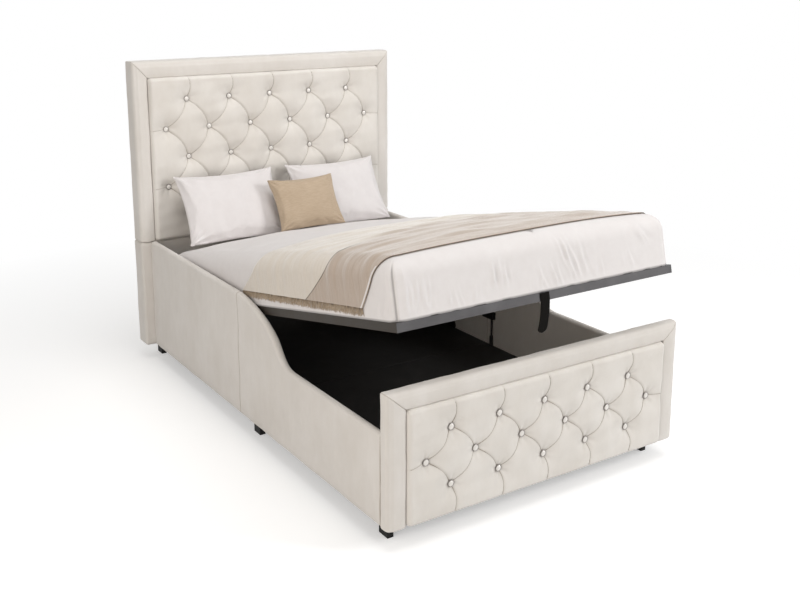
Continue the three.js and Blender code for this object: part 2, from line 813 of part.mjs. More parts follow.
// A round solid about the strut's line, from a closed list of [radius, along] points
function turnedAlongStrut(profile, segments = 16) {
  const points = profile.map(([radius, along]) => new THREE.Vector2(radius, along));
  const geometry = new THREE.LatheGeometry(points, segments);
  geometry.translate(strutCentre, 0, 0);
  return geometry;
}

function strutEye(radius, holeRadius, neckRadius, neckLength) {
  const half = strutEyeThickness / 2;
  const eye = pinAlongX(radius, strutCentre - half, strutCentre + half);
  const neck = turnedAlongStrut([[0, 0], [neckRadius, 0], [neckRadius, neckLength], [0, neckLength]]);
  const hole = pinAlongX(holeRadius, strutCentre - half - cutOverrun, strutCentre + half + cutOverrun);
  return { solids: [eye, neck], hole };
}

function strutCylinder() {
  const boreEnd = strutBodyLength - strutGlandLength;
  const eye = strutEye(strutEyeRadius, pivotPinRadius + seatGap, strutEyeRadius * 0.6, strutBodyStart + cutOverrun);
  const body = turnedAlongStrut([
    [0, strutBodyStart],
    [strutBodyRadius, strutBodyStart],
    [strutBodyRadius, strutBodyLength],
    [strutRodRadius + strutRunningGap, strutBodyLength],
    [strutRodRadius + strutRunningGap, boreEnd],
    [strutBoreRadius, boreEnd],
    [strutBoreRadius, strutBoreStart],
    [0, strutBoreStart],
  ]);
  return cutAway(joined([body, ...eye.solids]), [eye.hole]);
}

function strutRod() {
  const eye = strutEye(strutEyeRadius * 0.9, strutPinRadius + seatGap, strutEyeRadius * 0.55, strutRodNeckLength);
  const rod = turnedAlongStrut([
    [0, strutPinRadius],
    [strutRodRadius, strutPinRadius],
    [strutRodRadius, strutRodLength - strutPistonLength],
    [strutPistonRadius, strutRodLength - strutPistonLength],
    [strutPistonRadius, strutRodLength],
    [0, strutRodLength],
  ]);
  return cutAway(joined([rod, ...eye.solids]), [eye.hole]);
}

// A group whose local +Y runs at an angle in the Y-Z plane from a pivot
function pivotGroup(parent, [y, z], angle) {
  const group = new THREE.Group();
  group.position.set(0, y, z);
  group.rotation.x = angle;
  parent.add(group);
  return group;
}

function addLinkage(parent) {
  addPair(parent, 'lift_base_plate', liftBasePlate(), 'blackSteel');
  addPair(pivotGroup(parent, rearRoot, rearArmAngle), 'lift_rear_arm', rearArm(), 'blackSteel');
  addPair(pivotGroup(parent, frontRoot, frontArmAngle), 'lift_front_arm', frontArm(), 'blackSteel');
  addPair(pivotGroup(parent, strutRoot, strutAngle), 'gas_strut_cylinder', strutCylinder(), 'blackSteel');
  addPair(pivotGroup(parent, strutTip, strutAngle + Math.PI), 'gas_strut_rod', strutRod(), 'chrome');
}

// Platform, in its own frame: +Y from its front edge to the head, +Z up from its underside

// A square steel tube between two points along X or Y, with its ends cut to a mitre
function squareTube(length, startCut, endCut) {
  const half = tubeSize / 2;
  const inner = half - tubeWall;
  const shape = new THREE.Shape([[-half, -half], [half, -half], [half, half], [-half, half]]
    .map(([x, z]) => new THREE.Vector2(x, z)));
  shape.holes.push(new THREE.Path([[-inner, -inner], [-inner, inner], [inner, inner], [inner, -inner]]
    .map(([x, z]) => new THREE.Vector2(x, z))));
  const tube = new THREE.ExtrudeGeometry(shape, { depth: length, bevelEnabled: false });
  tube.rotateX(-Math.PI / 2);
  const wedge = (atY, side) => {
    const shapeOut = new THREE.Shape([
      new THREE.Vector2(-half - cutOverrun, side * cutOverrun),
      new THREE.Vector2(half + cutOverrun, side * cutOverrun),
      new THREE.Vector2(half + cutOverrun, -side * (tubeSize + cutOverrun)),
    ]);
    const cutter = new THREE.ExtrudeGeometry(shapeOut, { depth: tubeSize + cutOverrun * 2, bevelEnabled: false });
    cutter.translate(0, atY, -half - cutOverrun);
    return cutter;
  };
  const cutters = [];
  if (startCut) cutters.push(wedge(0, -1));
  if (endCut) cutters.push(wedge(length, 1));
  return cutters.length > 0 ? cutAway(tube, cutters) : tube;
}

function addPlatformFrame(platform) {
  const half = tubeSize / 2;
  const mitreGap = seatGap * Math.SQRT2;
  const side = squareTube(mattressLength - mitreGap, true, true);
  side.rotateY(Math.PI);
  side.translate(platformHalf - half, mitreGap / 2, half);
  addPair(platform, 'platform_tube', side, 'greySteel');
  const cross = () => squareTube(mattressWidth - mitreGap, true, true);
  const front = cross();
  front.rotateZ(-Math.PI / 2);
  front.rotateX(Math.PI);
  front.translate(-platformHalf + mitreGap / 2, half, half);
  addMesh(platform, 'platform_tube_front', front, 'greySteel');
  const rear = cross();
  rear.rotateZ(-Math.PI / 2);
  rear.translate(-platformHalf + mitreGap / 2, mattressLength - half, half);
  addMesh(platform, 'platform_tube_rear', rear, 'greySteel');
  const centre = squareTube(mattressLength - tubeSize * 2 - seatGap * 2, false, false);
  centre.translate(0, tubeSize + seatGap, half);
  addMesh(platform, 'platform_tube_centre', centre, 'greySteel');
}

// A sprung lath with a cap and a lug at each end
function addSlats(platform) {
  const endX = platformHalf - tubeWall;
  const lugX = platformHalf - tubeSize - seatGap;
  const innerX = lugX - slatLugLength;
  const top = slatBase + slatThickness;
  const rightHalf = [[innerX, slatBase], [innerX, slatBase - slatLugDepth], [lugX, slatBase - slatLugDepth],
    [lugX, slatBase], [endX, slatBase], [endX, top]];
  const leftHalf = rightHalf.map(([x, z]) => [-x, z]).reverse();
  const shape = new THREE.Shape([...rightHalf, ...leftHalf].map(([x, z]) => new THREE.Vector2(x, z)));
  const firstSlat = tubeSize + slatEndMargin;
  const pitch = (mattressLength - firstSlat * 2 - slatWidth) / (slatCount - 1);
  for (let index = 0; index < slatCount; index += 1) {
    const slat = new THREE.ExtrudeGeometry(shape, { depth: slatWidth, bevelEnabled: false });
    slat.rotateX(Math.PI / 2);
    slat.translate(0, firstSlat + slatWidth + pitch * index, 0);
    addMesh(platform, `slat_${String(index + 1).padStart(2, '0')}`, slat, 'slatWood');
  }
}

function addDropBrackets(platform) {
  const top = -seatGap;
  const radius = dropBracketOverhang / 2;
  const outline = outlineRound([
    [frontPivotAlong - dropBracketOverhang + radius, -dropBracketDepth + radius, radius],
    [rearPivotAlong + dropBracketOverhang - radius, -dropBracketDepth + radius, radius],
    [frontPivotAlong - dropBracketOverhang + radius, top - seatGap * 4, seatGap * 4],
    [rearPivotAlong + dropBracketOverhang - radius, top - seatGap * 4, seatGap * 4],
  ]);
  const window = strutPinRadius + openPivotClearance;
  const plate = plateAlongX(outline, bracketInner, bracketOuter, 0, [[frontPivotAlong, -pivotDrop, window]]);
  const pinEnd = armOuter + seatGap;
  const bracket = joined([
    plate,
    pinAlongX(pivotPinRadius, bracketInner + dropBracketThickness / 2, pinEnd + pivotHeadThickness, rearPivotAlong, -pivotDrop),
    pinAlongX(pivotHeadRadius, pinEnd, pinEnd + pivotHeadThickness, rearPivotAlong, -pivotDrop),
  ]);
  addPair(platform, 'platform_bracket', bracket, 'blackSteel');
}

// A webbing strap on the front tube that hangs straight down while the platform is raised
function addStrap(platform) {
  const points = [];
  const faceY = -seatGap - strapThickness / 2;
  points.push([faceY, tubeSize - strapTopMargin]);
  points.push([faceY, strapTopMargin]);
  const steps = 6;
  for (let step = 1; step <= steps; step += 1) {
    const share = step / steps;
    const bow = strapSag * Math.sin(Math.PI * share);
    points.push([
      faceY - bow + Math.sin(platformTilt) * strapDrop * share,
      strapTopMargin - Math.cos(platformTilt) * strapDrop * share,
    ]);
  }
  const half = strapThickness / 2;
  const side = (sign) => points.map(([y, z], index) => {
    const before = points[Math.max(index - 1, 0)];
    const after = points[Math.min(index + 1, points.length - 1)];
    const run = Math.hypot(after[0] - before[0], after[1] - before[1]);
    return [
      y + (sign * half * (after[1] - before[1])) / run,
      z - (sign * half * (after[0] - before[0])) / run,
    ];
  });
  const outline = [...side(-1), ...side(1).reverse()];
  addMesh(platform, 'lift_strap', plateAlongX(outline, -strapWidth / 2, strapWidth / 2), 'webbing');
}

// Bedding

// A rounded rectangle about the mattress, drawn in by an inset, at a height
function mattressRing(inset, height) {
  const halfX = mattressWidth / 2 - inset;
  const halfY = mattressLength / 2 - inset;
  const radius = Math.max(mattressCornerRadius - inset, mattressCornerRadius / 4);
  const ring = [];
  [[1, -1, -90], [1, 1, 0], [-1, 1, 90], [-1, -1, 180]].forEach(([sideX, sideY, startAngle]) => {
    for (let step = 0; step <= 3; step += 1) {
      const angle = THREE.MathUtils.degToRad(startAngle + step * 30);
      ring.push([
        sideX * (halfX - radius) + radius * Math.cos(angle),
        mattressLength / 2 + sideY * (halfY - radius) + radius * Math.sin(angle),
        height,
      ]);
    }
    for (let step = 1; step < 9; step += 1) {
      const share = step / 9;
      const alongY = sideX === sideY * -1;
      if (alongY) {
        const from = sideY * (halfY - radius);
        ring.push([sideX * halfX, mattressLength / 2 + from - from * 2 * share, height]);
      } else {
        const from = sideX * (halfX - radius);
        ring.push([from - from * 2 * share, mattressLength / 2 + sideY * halfY, height]);
      }
    }
  });
  return ring;
}

// Height of the mattress's top at a share of the way from its middle to its edge
function crownHeight(share) {
  return mattressEdgeTop + mattressCrown * (1 - share ** 3);
}

function mattress() {
  const rings = [];
  const roll = (radius, from, inwards) => [0, 30, 60, 90].forEach((degrees) => {
    const angle = THREE.MathUtils.degToRad(inwards ? degrees : 90 - degrees);
    rings.push(mattressRing(radius * (1 - Math.cos(angle)), from + radius * Math.sin(angle) * (inwards ? 1 : -1)));
  });
  roll(mattressBottomRoll, mattressBase + mattressBottomRoll, false);
  roll(mattressTopRoll, mattressEdgeTop - mattressTopRoll, true);
  crownRingShares.slice(1, -1).forEach((share) => {
    const full = mattressRing(mattressTopRoll, 0);
    rings.push(full.map(([x, y]) => [
      x * share,
      mattressLength / 2 + (y - mattressLength / 2) * share,
      crownHeight(share),
    ]));
  });
  const middleY = mattressLength / 2;
  return closedRings(rings, [0, middleY, mattressBase], [0, middleY, crownHeight(0)]);
}

// Top of the mattress under a place on the platform
function mattressTopAt(x, along) {
  const reachX = Math.abs(x) / (mattressWidth / 2 - mattressTopRoll);
  const reachY = Math.abs(along - mattressLength / 2) / (mattressLength / 2 - mattressTopRoll);
  const reach = Math.min(Math.max(reachX, reachY), 1);
  const ring = crownRingShares.findIndex((share) => reach >= share);
  const inner = crownRingShares[Math.max(ring, 1)];
  const outer = crownRingShares[Math.max(ring, 1) - 1];
  const mix = (reach - inner) / (outer - inner);
  return crownHeight(inner) + (crownHeight(outer) - crownHeight(inner)) * mix;
}

// The throw's section across the bed: [x, height, hanging share] from the left hem to the right
function throwSection(lift) {
  const half = mattressWidth / 2;
  const rollCentre = half - mattressTopRoll;
  const rollBase = mattressEdgeTop - mattressTopRoll;
  const right = [[half + lift, throwHemHeight, 1], [half + lift, (throwHemHeight + rollBase) / 2, 0.5]];
  [0, 25, 50, 75].forEach((degrees) => {
    const angle = THREE.MathUtils.degToRad(degrees);
    const reach = mattressTopRoll + lift;
    right.push([rollCentre + reach * Math.cos(angle), rollBase + reach * Math.sin(angle), 0]);
  });
  [1, 0.8, 0.64, 0.48, 0.32, 0.16].forEach((share) => {
    right.push([rollCentre * share, crownHeight(share) + lift, 0]);
  });
  const left = right.map(([x, z, hanging]) => [-x, z, hanging]);
  return [...left, [0, crownHeight(0) + lift, 0], ...right.reverse()];
}

function throwSheet() {
  const lengthSteps = 12;
  const grid = (lift) => throwSection(lift).map(([x, z, hanging]) => {
    const row = [];
    const front = throwFrontFromFoot + throwHemSkew * hanging;
    const rear = throwRearFromFoot + throwRearHemSkew * hanging;
    for (let step = 0; step <= lengthSteps; step += 1) {
      const along = front + ((rear - front) * step) / lengthSteps;
      const wave = throwWave * hanging * (1 + Math.sin((Math.PI * 2 * along) / throwWaveLength));
      row.push([x + Math.sign(x) * wave, along, z]);
    }
    return row;
  });
  return closedGrids(grid(throwLift), grid(throwLift + throwThickness));
}

// A filled pillow standing on its long edge: full in the middle, drawn in at the sides
function pillowShape(width, height, thickness, columns, rows) {
  const side = (sign) => {
    const grid = [];
    for (let row = 0; row <= rows; row += 1) {
      const v = (row / rows) * 2 - 1;
      const line = [];
      for (let column = 0; column <= columns; column += 1) {
        const u = (column / columns) * 2 - 1;
        const bulge = Math.max(1 - Math.abs(u) ** 2.6, 0) ** 0.5 * Math.max(1 - Math.abs(v) ** 2.4, 0) ** 0.5;
        const drawnX = 1 - pillowPinchShare * (1 - v * v) * Math.abs(u);
        const drawnZ = 1 - pillowPinchShare * (1 - u * u) * Math.abs(v);
        line.push([
          (u * drawnX * width) / 2,
          (sign * bulge * thickness) / 2,
          (v * drawnZ * height) / 2,
        ]);
      }
      grid.push(line);
    }
    return grid;
  };
  return closedGrids(side(-1), side(1));
}

// Leans a pillow back and lowers it until it rests on the mattress
function seatedPillow(geometry, centreX, fromHead, height) {
  geometry.translate(0, 0, height / 2);
  geometry.rotateX(-pillowLean);
  geometry.translate(centreX, mattressLength - fromHead, 0);
  const position = geometry.attributes.position;
  let drop = Infinity;
  for (let index = 0; index < position.count; index += 1) {
    const top = mattressTopAt(position.getX(index), position.getY(index));
    drop = Math.min(drop, position.getZ(index) - top);
  }
  geometry.translate(0, 0, seatGap - drop);
  geometry.computeVertexNormals();
  return geometry;
}

function addBedding(platform) {
  addMesh(platform, 'mattress', mattress(), 'ticking');
  addMesh(platform, 'bed_throw', throwSheet(), 'knit');
  [['left', -1], ['right', 1]].forEach(([name, sign]) => {
    const pillow = pillowShape(pillowWidth, pillowHeight, pillowThickness, 12, 10);
    addMesh(platform, `pillow_${name}`, seatedPillow(pillow, sign * pillowOffset, pillowFromHead, pillowHeight), 'cotton');
  });
  const cushion = pillowShape(cushionWidth, cushionHeight, cushionThickness, 10, 8);
  addMesh(platform, 'scatter_cushion', seatedPillow(cushion, cushionOffset, cushionFromHead, cushionHeight), 'linen');
}

// The whole bed

function ottomanBed() {
  const bed = new THREE.Group();
  const base = new THREE.Group();
  base.position.y = -bedCentreY;
  bed.add(base);
  addFootboard(base);
  addHeadboard(base);
  addRails(base);
  addFeet(base);
  addFloor(base);
  addCornerAngles(base);
  addRailJoint(base);
  addLinkage(base);
  const platform = pivotGroup(base, platformOrigin, -platformTilt);
  addPlatformFrame(platform);
  addSlats(platform);
  addDropBrackets(platform);
  addStrap(platform);
  addBedding(platform);
  return bed;
}

export default ottomanBed();
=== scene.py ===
"""Dresses the upholstered ottoman bed: velvet, button tufting, bedding, steel and studio.

All sizes are in metres in the part's own frame: +X to the right seen from the foot of the
bed, +Y from the footboard to the headboard, +Z up, with the origin on the floor.
"""
import logging
import math
from dataclasses import dataclass, field
from enum import Enum

import bmesh
import bpy
import numpy as np
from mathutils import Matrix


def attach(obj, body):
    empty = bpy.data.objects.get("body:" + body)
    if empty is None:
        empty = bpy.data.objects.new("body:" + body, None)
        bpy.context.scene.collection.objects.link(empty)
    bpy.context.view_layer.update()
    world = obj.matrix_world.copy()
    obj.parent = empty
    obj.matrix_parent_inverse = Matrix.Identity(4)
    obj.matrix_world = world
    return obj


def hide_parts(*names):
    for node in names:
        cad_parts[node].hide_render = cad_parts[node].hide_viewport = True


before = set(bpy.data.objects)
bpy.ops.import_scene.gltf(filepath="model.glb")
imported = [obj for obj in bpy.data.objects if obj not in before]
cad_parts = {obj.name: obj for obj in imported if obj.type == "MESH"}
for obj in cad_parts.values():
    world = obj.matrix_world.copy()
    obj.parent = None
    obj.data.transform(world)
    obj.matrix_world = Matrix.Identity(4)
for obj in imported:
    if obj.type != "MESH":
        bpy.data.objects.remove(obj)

LOG = logging.getLogger("ottoman_bed")
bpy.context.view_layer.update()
Array = np.ndarray
Colour = tuple[float, float, float]
Place = tuple[float, float, float]
Socket = bpy.types.NodeSocket
Material = bpy.types.Material
Piece = bpy.types.Object

# How far the platform is lifted at rest, and the y and z of its underside's foot end.
TILT = math.radians(12.17)
PLATFORM_FRONT = (-1.063404, 0.728158)

# A full turn, the range that random phases are drawn from, the simulation's frames and
# plain coordinates.
FULL_TURN = 2 * math.pi
PHASES = 6.28
FRAMES = 20
EVEN: Colour = (1.0, 1.0, 1.0)
UNTURNED: Colour = (0.0, 0.0, 0.0)


# ---- numbers and meshes


def on_platform(points: Array) -> Array:
    """Carries platform places into the part's frame.

    Formula: y = front y + along cos(tilt) + up sin(tilt), z = front z - along sin(tilt) + up
    cos(tilt), where the tilt is how far the platform is lifted at rest.

    Args:
        points: Places as (x, along the platform from its foot end, up from its underside).

    Returns:
        The same places as (x, y, z).
    """
    across, along, up = points[..., 0], points[..., 1], points[..., 2]
    deep = PLATFORM_FRONT[0] + along * math.cos(TILT) + up * math.sin(TILT)
    high = PLATFORM_FRONT[1] - along * math.sin(TILT) + up * math.cos(TILT)
    return np.stack([across, deep, high], axis=-1)


def unevenness(places: Array, size: float, seed: int, waves: int = 12) -> Array:
    """Smooth, repeatable unevenness, mostly from -1 to 1.

    Formula: the sum of sine waves that run in random directions, each with a length near the
    given size and a random phase, divided by the root of half their number.

    Args:
        places: Points, with their coordinates in the last axis.
        size: The usual length of a wave.
        seed: Picks the waves.
        waves: How many are summed.

    Returns:
        One value for each point.
    """
    rng = np.random.default_rng(seed)
    ways = rng.normal(size=(waves, places.shape[-1]))
    ways /= np.linalg.norm(ways, axis=1, keepdims=True)
    ways *= (2 * math.pi / (size * rng.uniform(0.6, 1.7, waves)))[:, None]
    return np.sin(places @ ways.T + rng.uniform(0, PHASES, waves)).sum(-1) / math.sqrt(waves / 2)


def smooth_step(values: Array, low: float, high: float) -> Array:
    """Rises from 0 at low to 1 at high as 3t^2 - 2t^3, with t the share of the way."""
    share = np.clip((values - low) / (high - low), 0.0, 1.0)
    return share * share * (3 - 2 * share)


def spaced(start: float, end: float, step: float) -> Array:
    """Even places from start to end, about a step apart."""
    return np.linspace(start, end, max(int(round(abs(end - start) / step)), 1) + 1)


def round_angles(count: int) -> Array:
    """Even angles round a circle, each once."""
    return np.linspace(0, FULL_TURN, count + 1)[:-1]


def headings(line: Array) -> Array:
    """Unit directions along a line of points."""
    way = np.gradient(line, axis=0)
    return way / np.linalg.norm(way, axis=1, keepdims=True)


def rounded_rectangle(
    half_u: float, half_v: float, radius: float, steps: tuple[float, ...], arc_steps: int = 6
) -> Array:
    """The columns of a rounded rectangle, as centres, directions and distance round it.

    Formula: each corner is an arc of the radius about its own centre, and each straight side
    joins two arcs, so a place is its centre plus its direction times the radius.

    Args:
        half_u: Half the width.
        half_v: Half the height.
        radius: The corner's radius.
        steps: The usual distances between places on the +u, +v, -u and -v sides.
        arc_steps: How many steps a corner has.

    Returns:
        An array of rows (centre u, centre v, direction u, direction v, distance round).
    """
    rows = []
    corners = [(1, -1, -90), (1, 1, 0), (-1, 1, 90), (-1, -1, 180)]
    for index, (side_u, side_v, start) in enumerate(corners):
        angles = np.radians(np.linspace(start, start + 90, arc_steps + 1))
        centre = np.array([side_u * (half_u - radius), side_v * (half_v - radius)])
        same = np.ones(len(angles))
        arc = np.column_stack([centre[0] * same, centre[1] * same, np.cos(angles), np.sin(angles)])
        rows.append(arc)
        following = corners[(index + 1) % 4]
        target = np.array([following[0] * (half_u - radius), following[1] * (half_v - radius)])
        length = float(np.hypot(*(target - centre)))
        shares = spaced(0, 1, steps[index] / length)[1:-1, None]
        middle = centre + (target - centre) * shares
        rows.append(np.column_stack([middle, np.repeat(arc[-1:, 2:], len(shares), axis=0)]))
    table = np.concatenate(rows)
    places = table[:, :2] + table[:, 2:] * radius
    gaps = np.hypot(*np.diff(places, axis=0, append=places[:1]).T)
    distance = np.concatenate([[0.0], np.cumsum(gaps)[:-1]])
    return np.column_stack([table, distance])


class Surface:
    """Grids of points that become one mesh."""

    def __init__(self) -> None:
        """Starts empty."""
        self.points: list[Array] = []
        self.quads: list[Array] = []
        self.caps: list[list[int]] = []
        self.slots: list[Array] = []
        self.cap_slots: list[int] = []
        self.values: list[Array] = []
        self.maps: list[Array] = []
        self.count = 0

    def grid(
        self,
        points: Array,
        wrap_rows: bool = False,
        wrap_columns: bool = False,
        cap_first: bool = False,
        cap_last: bool = False,
        slot: int = 0,
        value: Array | None = None,
        uv: Array | None = None,
    ) -> None:
        """Adds a grid of points as quads.

        Args:
            points: Rows by columns by 3.
            wrap_rows: Whether the last row joins the first.
            wrap_columns: Whether the last column joins the first.
            cap_first: Whether one face closes the first row.
            cap_last: Whether one face closes the last row.
            slot: The material slot.
            value: One number for each point, kept as the attribute "shade".
            uv: Two numbers for each point, kept as the UV map.
        """
        rows, columns = points.shape[:2]
        i, j = np.meshgrid(
            np.arange(rows if wrap_rows else rows - 1),
            np.arange(columns if wrap_columns else columns - 1),
            indexing="ij",
        )
        i, j = i.ravel(), j.ravel()
        under, beside = (i + 1) % rows, (j + 1) % columns
        row, row_under = i * columns, under * columns
        corners = [row + j, row + beside, row_under + beside, row_under + j]
        self.quads.append(np.stack(corners, axis=1) + self.count)
        self.slots.append(np.full(len(i), slot))
        if cap_first:
            self.caps.append([self.count + k for k in reversed(range(columns))])
            self.cap_slots.append(slot)
        if cap_last:
            self.caps.append([self.count + (rows - 1) * columns + k for k in range(columns)])
            self.cap_slots.append(slot)
        total = rows * columns
        self.points.append(points.reshape(-1, 3))
        self.values.append(np.zeros(total) if value is None else value.reshape(-1))
        self.maps.append(np.zeros((total, 2)) if uv is None else uv.reshape(-1, 2))
        self.count += total

    def tube(
        self, points: Array, slot: int = 0, value: Array | None = None, uv: Array | None = None
    ) -> None:
        """Adds a grid whose columns close into a ring and whose two ends have caps."""
        self.grid(points, False, True, True, True, slot, value, uv)

    def build(self, name: str, materials: list[Material], sharp: float = 50.0) -> Piece:
        """Makes the object, with its faces turned outwards.

        Args:
            name: The piece's name.
            materials: Its materials, in the order of the slots.
            sharp: Edges bent by more than this many degrees stay sharp.

        Returns:
            The new object, linked to the scene.
        """
        mesh = bpy.data.meshes.new(name)
        quads = np.concatenate(self.quads)
        mesh.from_pydata(np.concatenate(self.points).tolist(), [], quads.tolist() + self.caps)
        for material in materials:
            mesh.materials.append(material)
        slots = np.concatenate(self.slots + [np.array(self.cap_slots, int)])
        mesh.polygons.foreach_set("material_index", slots.astype(np.int32))
        shade = mesh.attributes.new("shade", "FLOAT", "POINT")
        shade.data.foreach_set("value", np.concatenate(self.values).astype(np.float32))
        corner = np.zeros(len(mesh.loops), np.int32)
        mesh.loops.foreach_get("vertex_index", corner)
        layer = mesh.uv_layers.new(name="UVMap")
        layer.data.foreach_set("uv", np.concatenate(self.maps)[corner].astype(np.float32).ravel())
        work = bmesh.new()
        work.from_mesh(mesh)
        bmesh.ops.recalc_face_normals(work, faces=work.faces)
        work.to_mesh(mesh)
        work.free()
        mesh.shade_smooth()
        mesh.set_sharp_from_angle(angle=math.radians(sharp))
        made = bpy.data.objects.new(name, mesh)
        bpy.context.scene.collection.objects.link(made)
        return made


def settle(piece: Piece, body: str, nodes: tuple[str, ...] = ()) -> Piece:
    """Ties a finished piece to its body and the nodes it stands for.

    Args:
        piece: The finished object.
        body: The body it moves with.
        nodes: The CAD nodes it replaces.

    Returns:
        The same object.
    """
    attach(piece, body)
    if nodes:
        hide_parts(*nodes)
    LOG.info("%s: %d faces, on %s", piece.name, len(piece.data.polygons), body)
    return piece


# ---- finishes


class Nodes:
    """A node tree, with short ways to add and join nodes."""

    def __init__(self, tree: bpy.types.NodeTree) -> None:
        """Takes a tree and empties it."""
        self.tree = tree
        self.tree.nodes.clear()

    def add(self, kind: str, **settings: object) -> bpy.types.Node:
        """Adds a node.

        Args:
            kind: The node's type.
            settings: Its plain properties.

        Returns:
            The node.
        """
        node = self.tree.nodes.new(kind)
        for key, value in settings.items():
            setattr(node, key, value)
        return node

    def join(self, source: Socket, target: Socket) -> None:
        """Links two sockets."""
        self.tree.links.new(source, target)

    def mix(self, factor: Socket, first: Socket, second: Socket) -> Socket:
        """Mixes two shaders.

        Args:
            factor: 0 gives the first and 1 the second.
            first: One shader.
            second: The other shader.

        Returns:
            The mixed shader.
        """
        node = self.add("ShaderNodeMixShader")
        for source, target in zip((factor, first, second), node.inputs):
            self.join(source, target)
        return node.outputs[0]


class Wiring(Nodes):
    """The node tree of one material, round its shader."""

    def __init__(self, name: str) -> None:
        """Starts a material with its shader and its coordinates.

        Args:
            name: The material's name.
        """
        self.material = bpy.data.materials.new(name)
        self.material.use_nodes = True
        super().__init__(self.material.node_tree)
        self.shader = self.add("ShaderNodeBsdfPrincipled")
        self.output = self.add("ShaderNodeOutputMaterial")
        self.join(self.shader.outputs["BSDF"], self.output.inputs["Surface"])
        self.places = self.add("ShaderNodeTexCoord")

    def constants(self, **values: float) -> None:
        """Sets values on the shader's own sockets, with _ in a name for a space."""
        for key, value in values.items():
            self.shader.inputs[key.replace("_", " ")].default_value = value

    def scaled(self, scale: Colour = EVEN, turn: Colour = UNTURNED, uv: bool = False) -> Socket:
        """Stretches and turns coordinates by a Mapping node.

        Args:
            scale: The stretch of each axis.
            turn: The turn about each axis, in radians.
            uv: Whether they are the UV map's, and not the object's.

        Returns:
            The coordinates.
        """
        mapping = self.add("ShaderNodeMapping")
        mapping.inputs["Scale"].default_value = scale
        mapping.inputs["Rotation"].default_value = turn
        self.join(self.places.outputs["UV" if uv else "Object"], mapping.inputs["Vector"])
        return mapping.outputs["Vector"]

    def noise(
        self, where: Socket, scale: float, detail: float = 3.0, rough: float = 0.55
    ) -> Socket:
        """Adds a noise texture.

        Args:
            where: The coordinates.
            scale: How fine it is.
            detail: How many finer layers it has.
            rough: How strong the finer layers are.

        Returns:
            Its value.
        """
        node = self.add("ShaderNodeTexNoise")
        for key, value in (("Scale", scale), ("Detail", detail), ("Roughness", rough)):
            node.inputs[key].default_value = value
        self.join(where, node.inputs["Vector"])
        return node.outputs["Fac"]

    def stretch(
        self, value: Socket, low: float, high: float, to_low: float = 0.0, to_high: float = 1.0
    ) -> Socket:
        """Maps a value from one range to another, and clamps it.

        Args:
            value: The value.
            low: What becomes to_low.
            high: What becomes to_high.
            to_low: The start of the new range.
            to_high: The end of the new range.

        Returns:
            The mapped value.
        """
        node = self.add("ShaderNodeMapRange")
        for socket, number in zip(node.inputs[1:5], (low, high, to_low, to_high)):
            socket.default_value = number
        self.join(value, node.inputs[0])
        return node.outputs[0]

    def blend(self, factor: Socket, first: Colour | Socket, second: Colour | Socket) -> Socket:
        """Mixes two colours.

        Args:
            factor: 0 gives the first and 1 the second.
            first: A colour or a socket.
            second: The same.

        Returns:
            The mixed colour.
        """
        node = self.add("ShaderNodeMix", data_type="RGBA")
        self.join(factor, node.inputs[0])
        for socket, colour in ((node.inputs[6], first), (node.inputs[7], second)):
            if isinstance(colour, tuple):
                socket.default_value = (*colour, 1.0)
            else:
                self.join(colour, socket)
        return node.outputs[2]

    def shade(self) -> Socket:
        """The mesh's own "shade" attribute."""
        return self.add("ShaderNodeAttribute", attribute_name="shade").outputs["Fac"]

    def weave(self, scale: float, strength: float, turn: Colour, uv: bool) -> list[tuple]:
        """Makes two sets of sine threads across each other.

        Args:
            scale: How fine the threads are.
            strength: How strongly they stand out.
            turn: How the weave is turned.
            uv: Whether it follows the UV map.

        Returns:
            Two bumps, each a height, a strength and a distance.
        """
        across = (0.0, 0.0, 1.5708) if uv else (0.0, 1.5708, 0.0)
        bumps = []
        for turned in (UNTURNED, across):
            waves = self.add("ShaderNodeTexWave", wave_profile="SIN")
            for key, value in (("Scale", scale), ("Distortion", 0.6), ("Detail", 1.0)):
                waves.inputs[key].default_value = value
            angles = tuple(a + b for a, b in zip(turn, turned))
            self.join(self.scaled(turn=angles, uv=uv), waves.inputs["Vector"])
            bumps.append((waves.outputs["Fac"], strength, 0.0003))
        return bumps

    def relief(self, bumps: list[tuple]) -> None:
        """Stacks bumps on the shader's normal.

        Args:
            bumps: Each is a height, a strength and a distance.
        """
        normal = None
        for height, strength, distance in bumps:
            bump = self.add("ShaderNodeBump")
            bump.inputs["Strength"].default_value = strength
            bump.inputs["Distance"].default_value = distance
            self.join(height, bump.inputs["Height"])
            if normal is not None:
                self.join(normal, bump.inputs["Normal"])
            normal = bump.outputs["Normal"]
        self.join(normal, self.shader.inputs["Normal"])

    def paint(self, colour: Socket) -> None:
        """Links the base colour."""
        self.join(colour, self.shader.inputs["Base Color"])


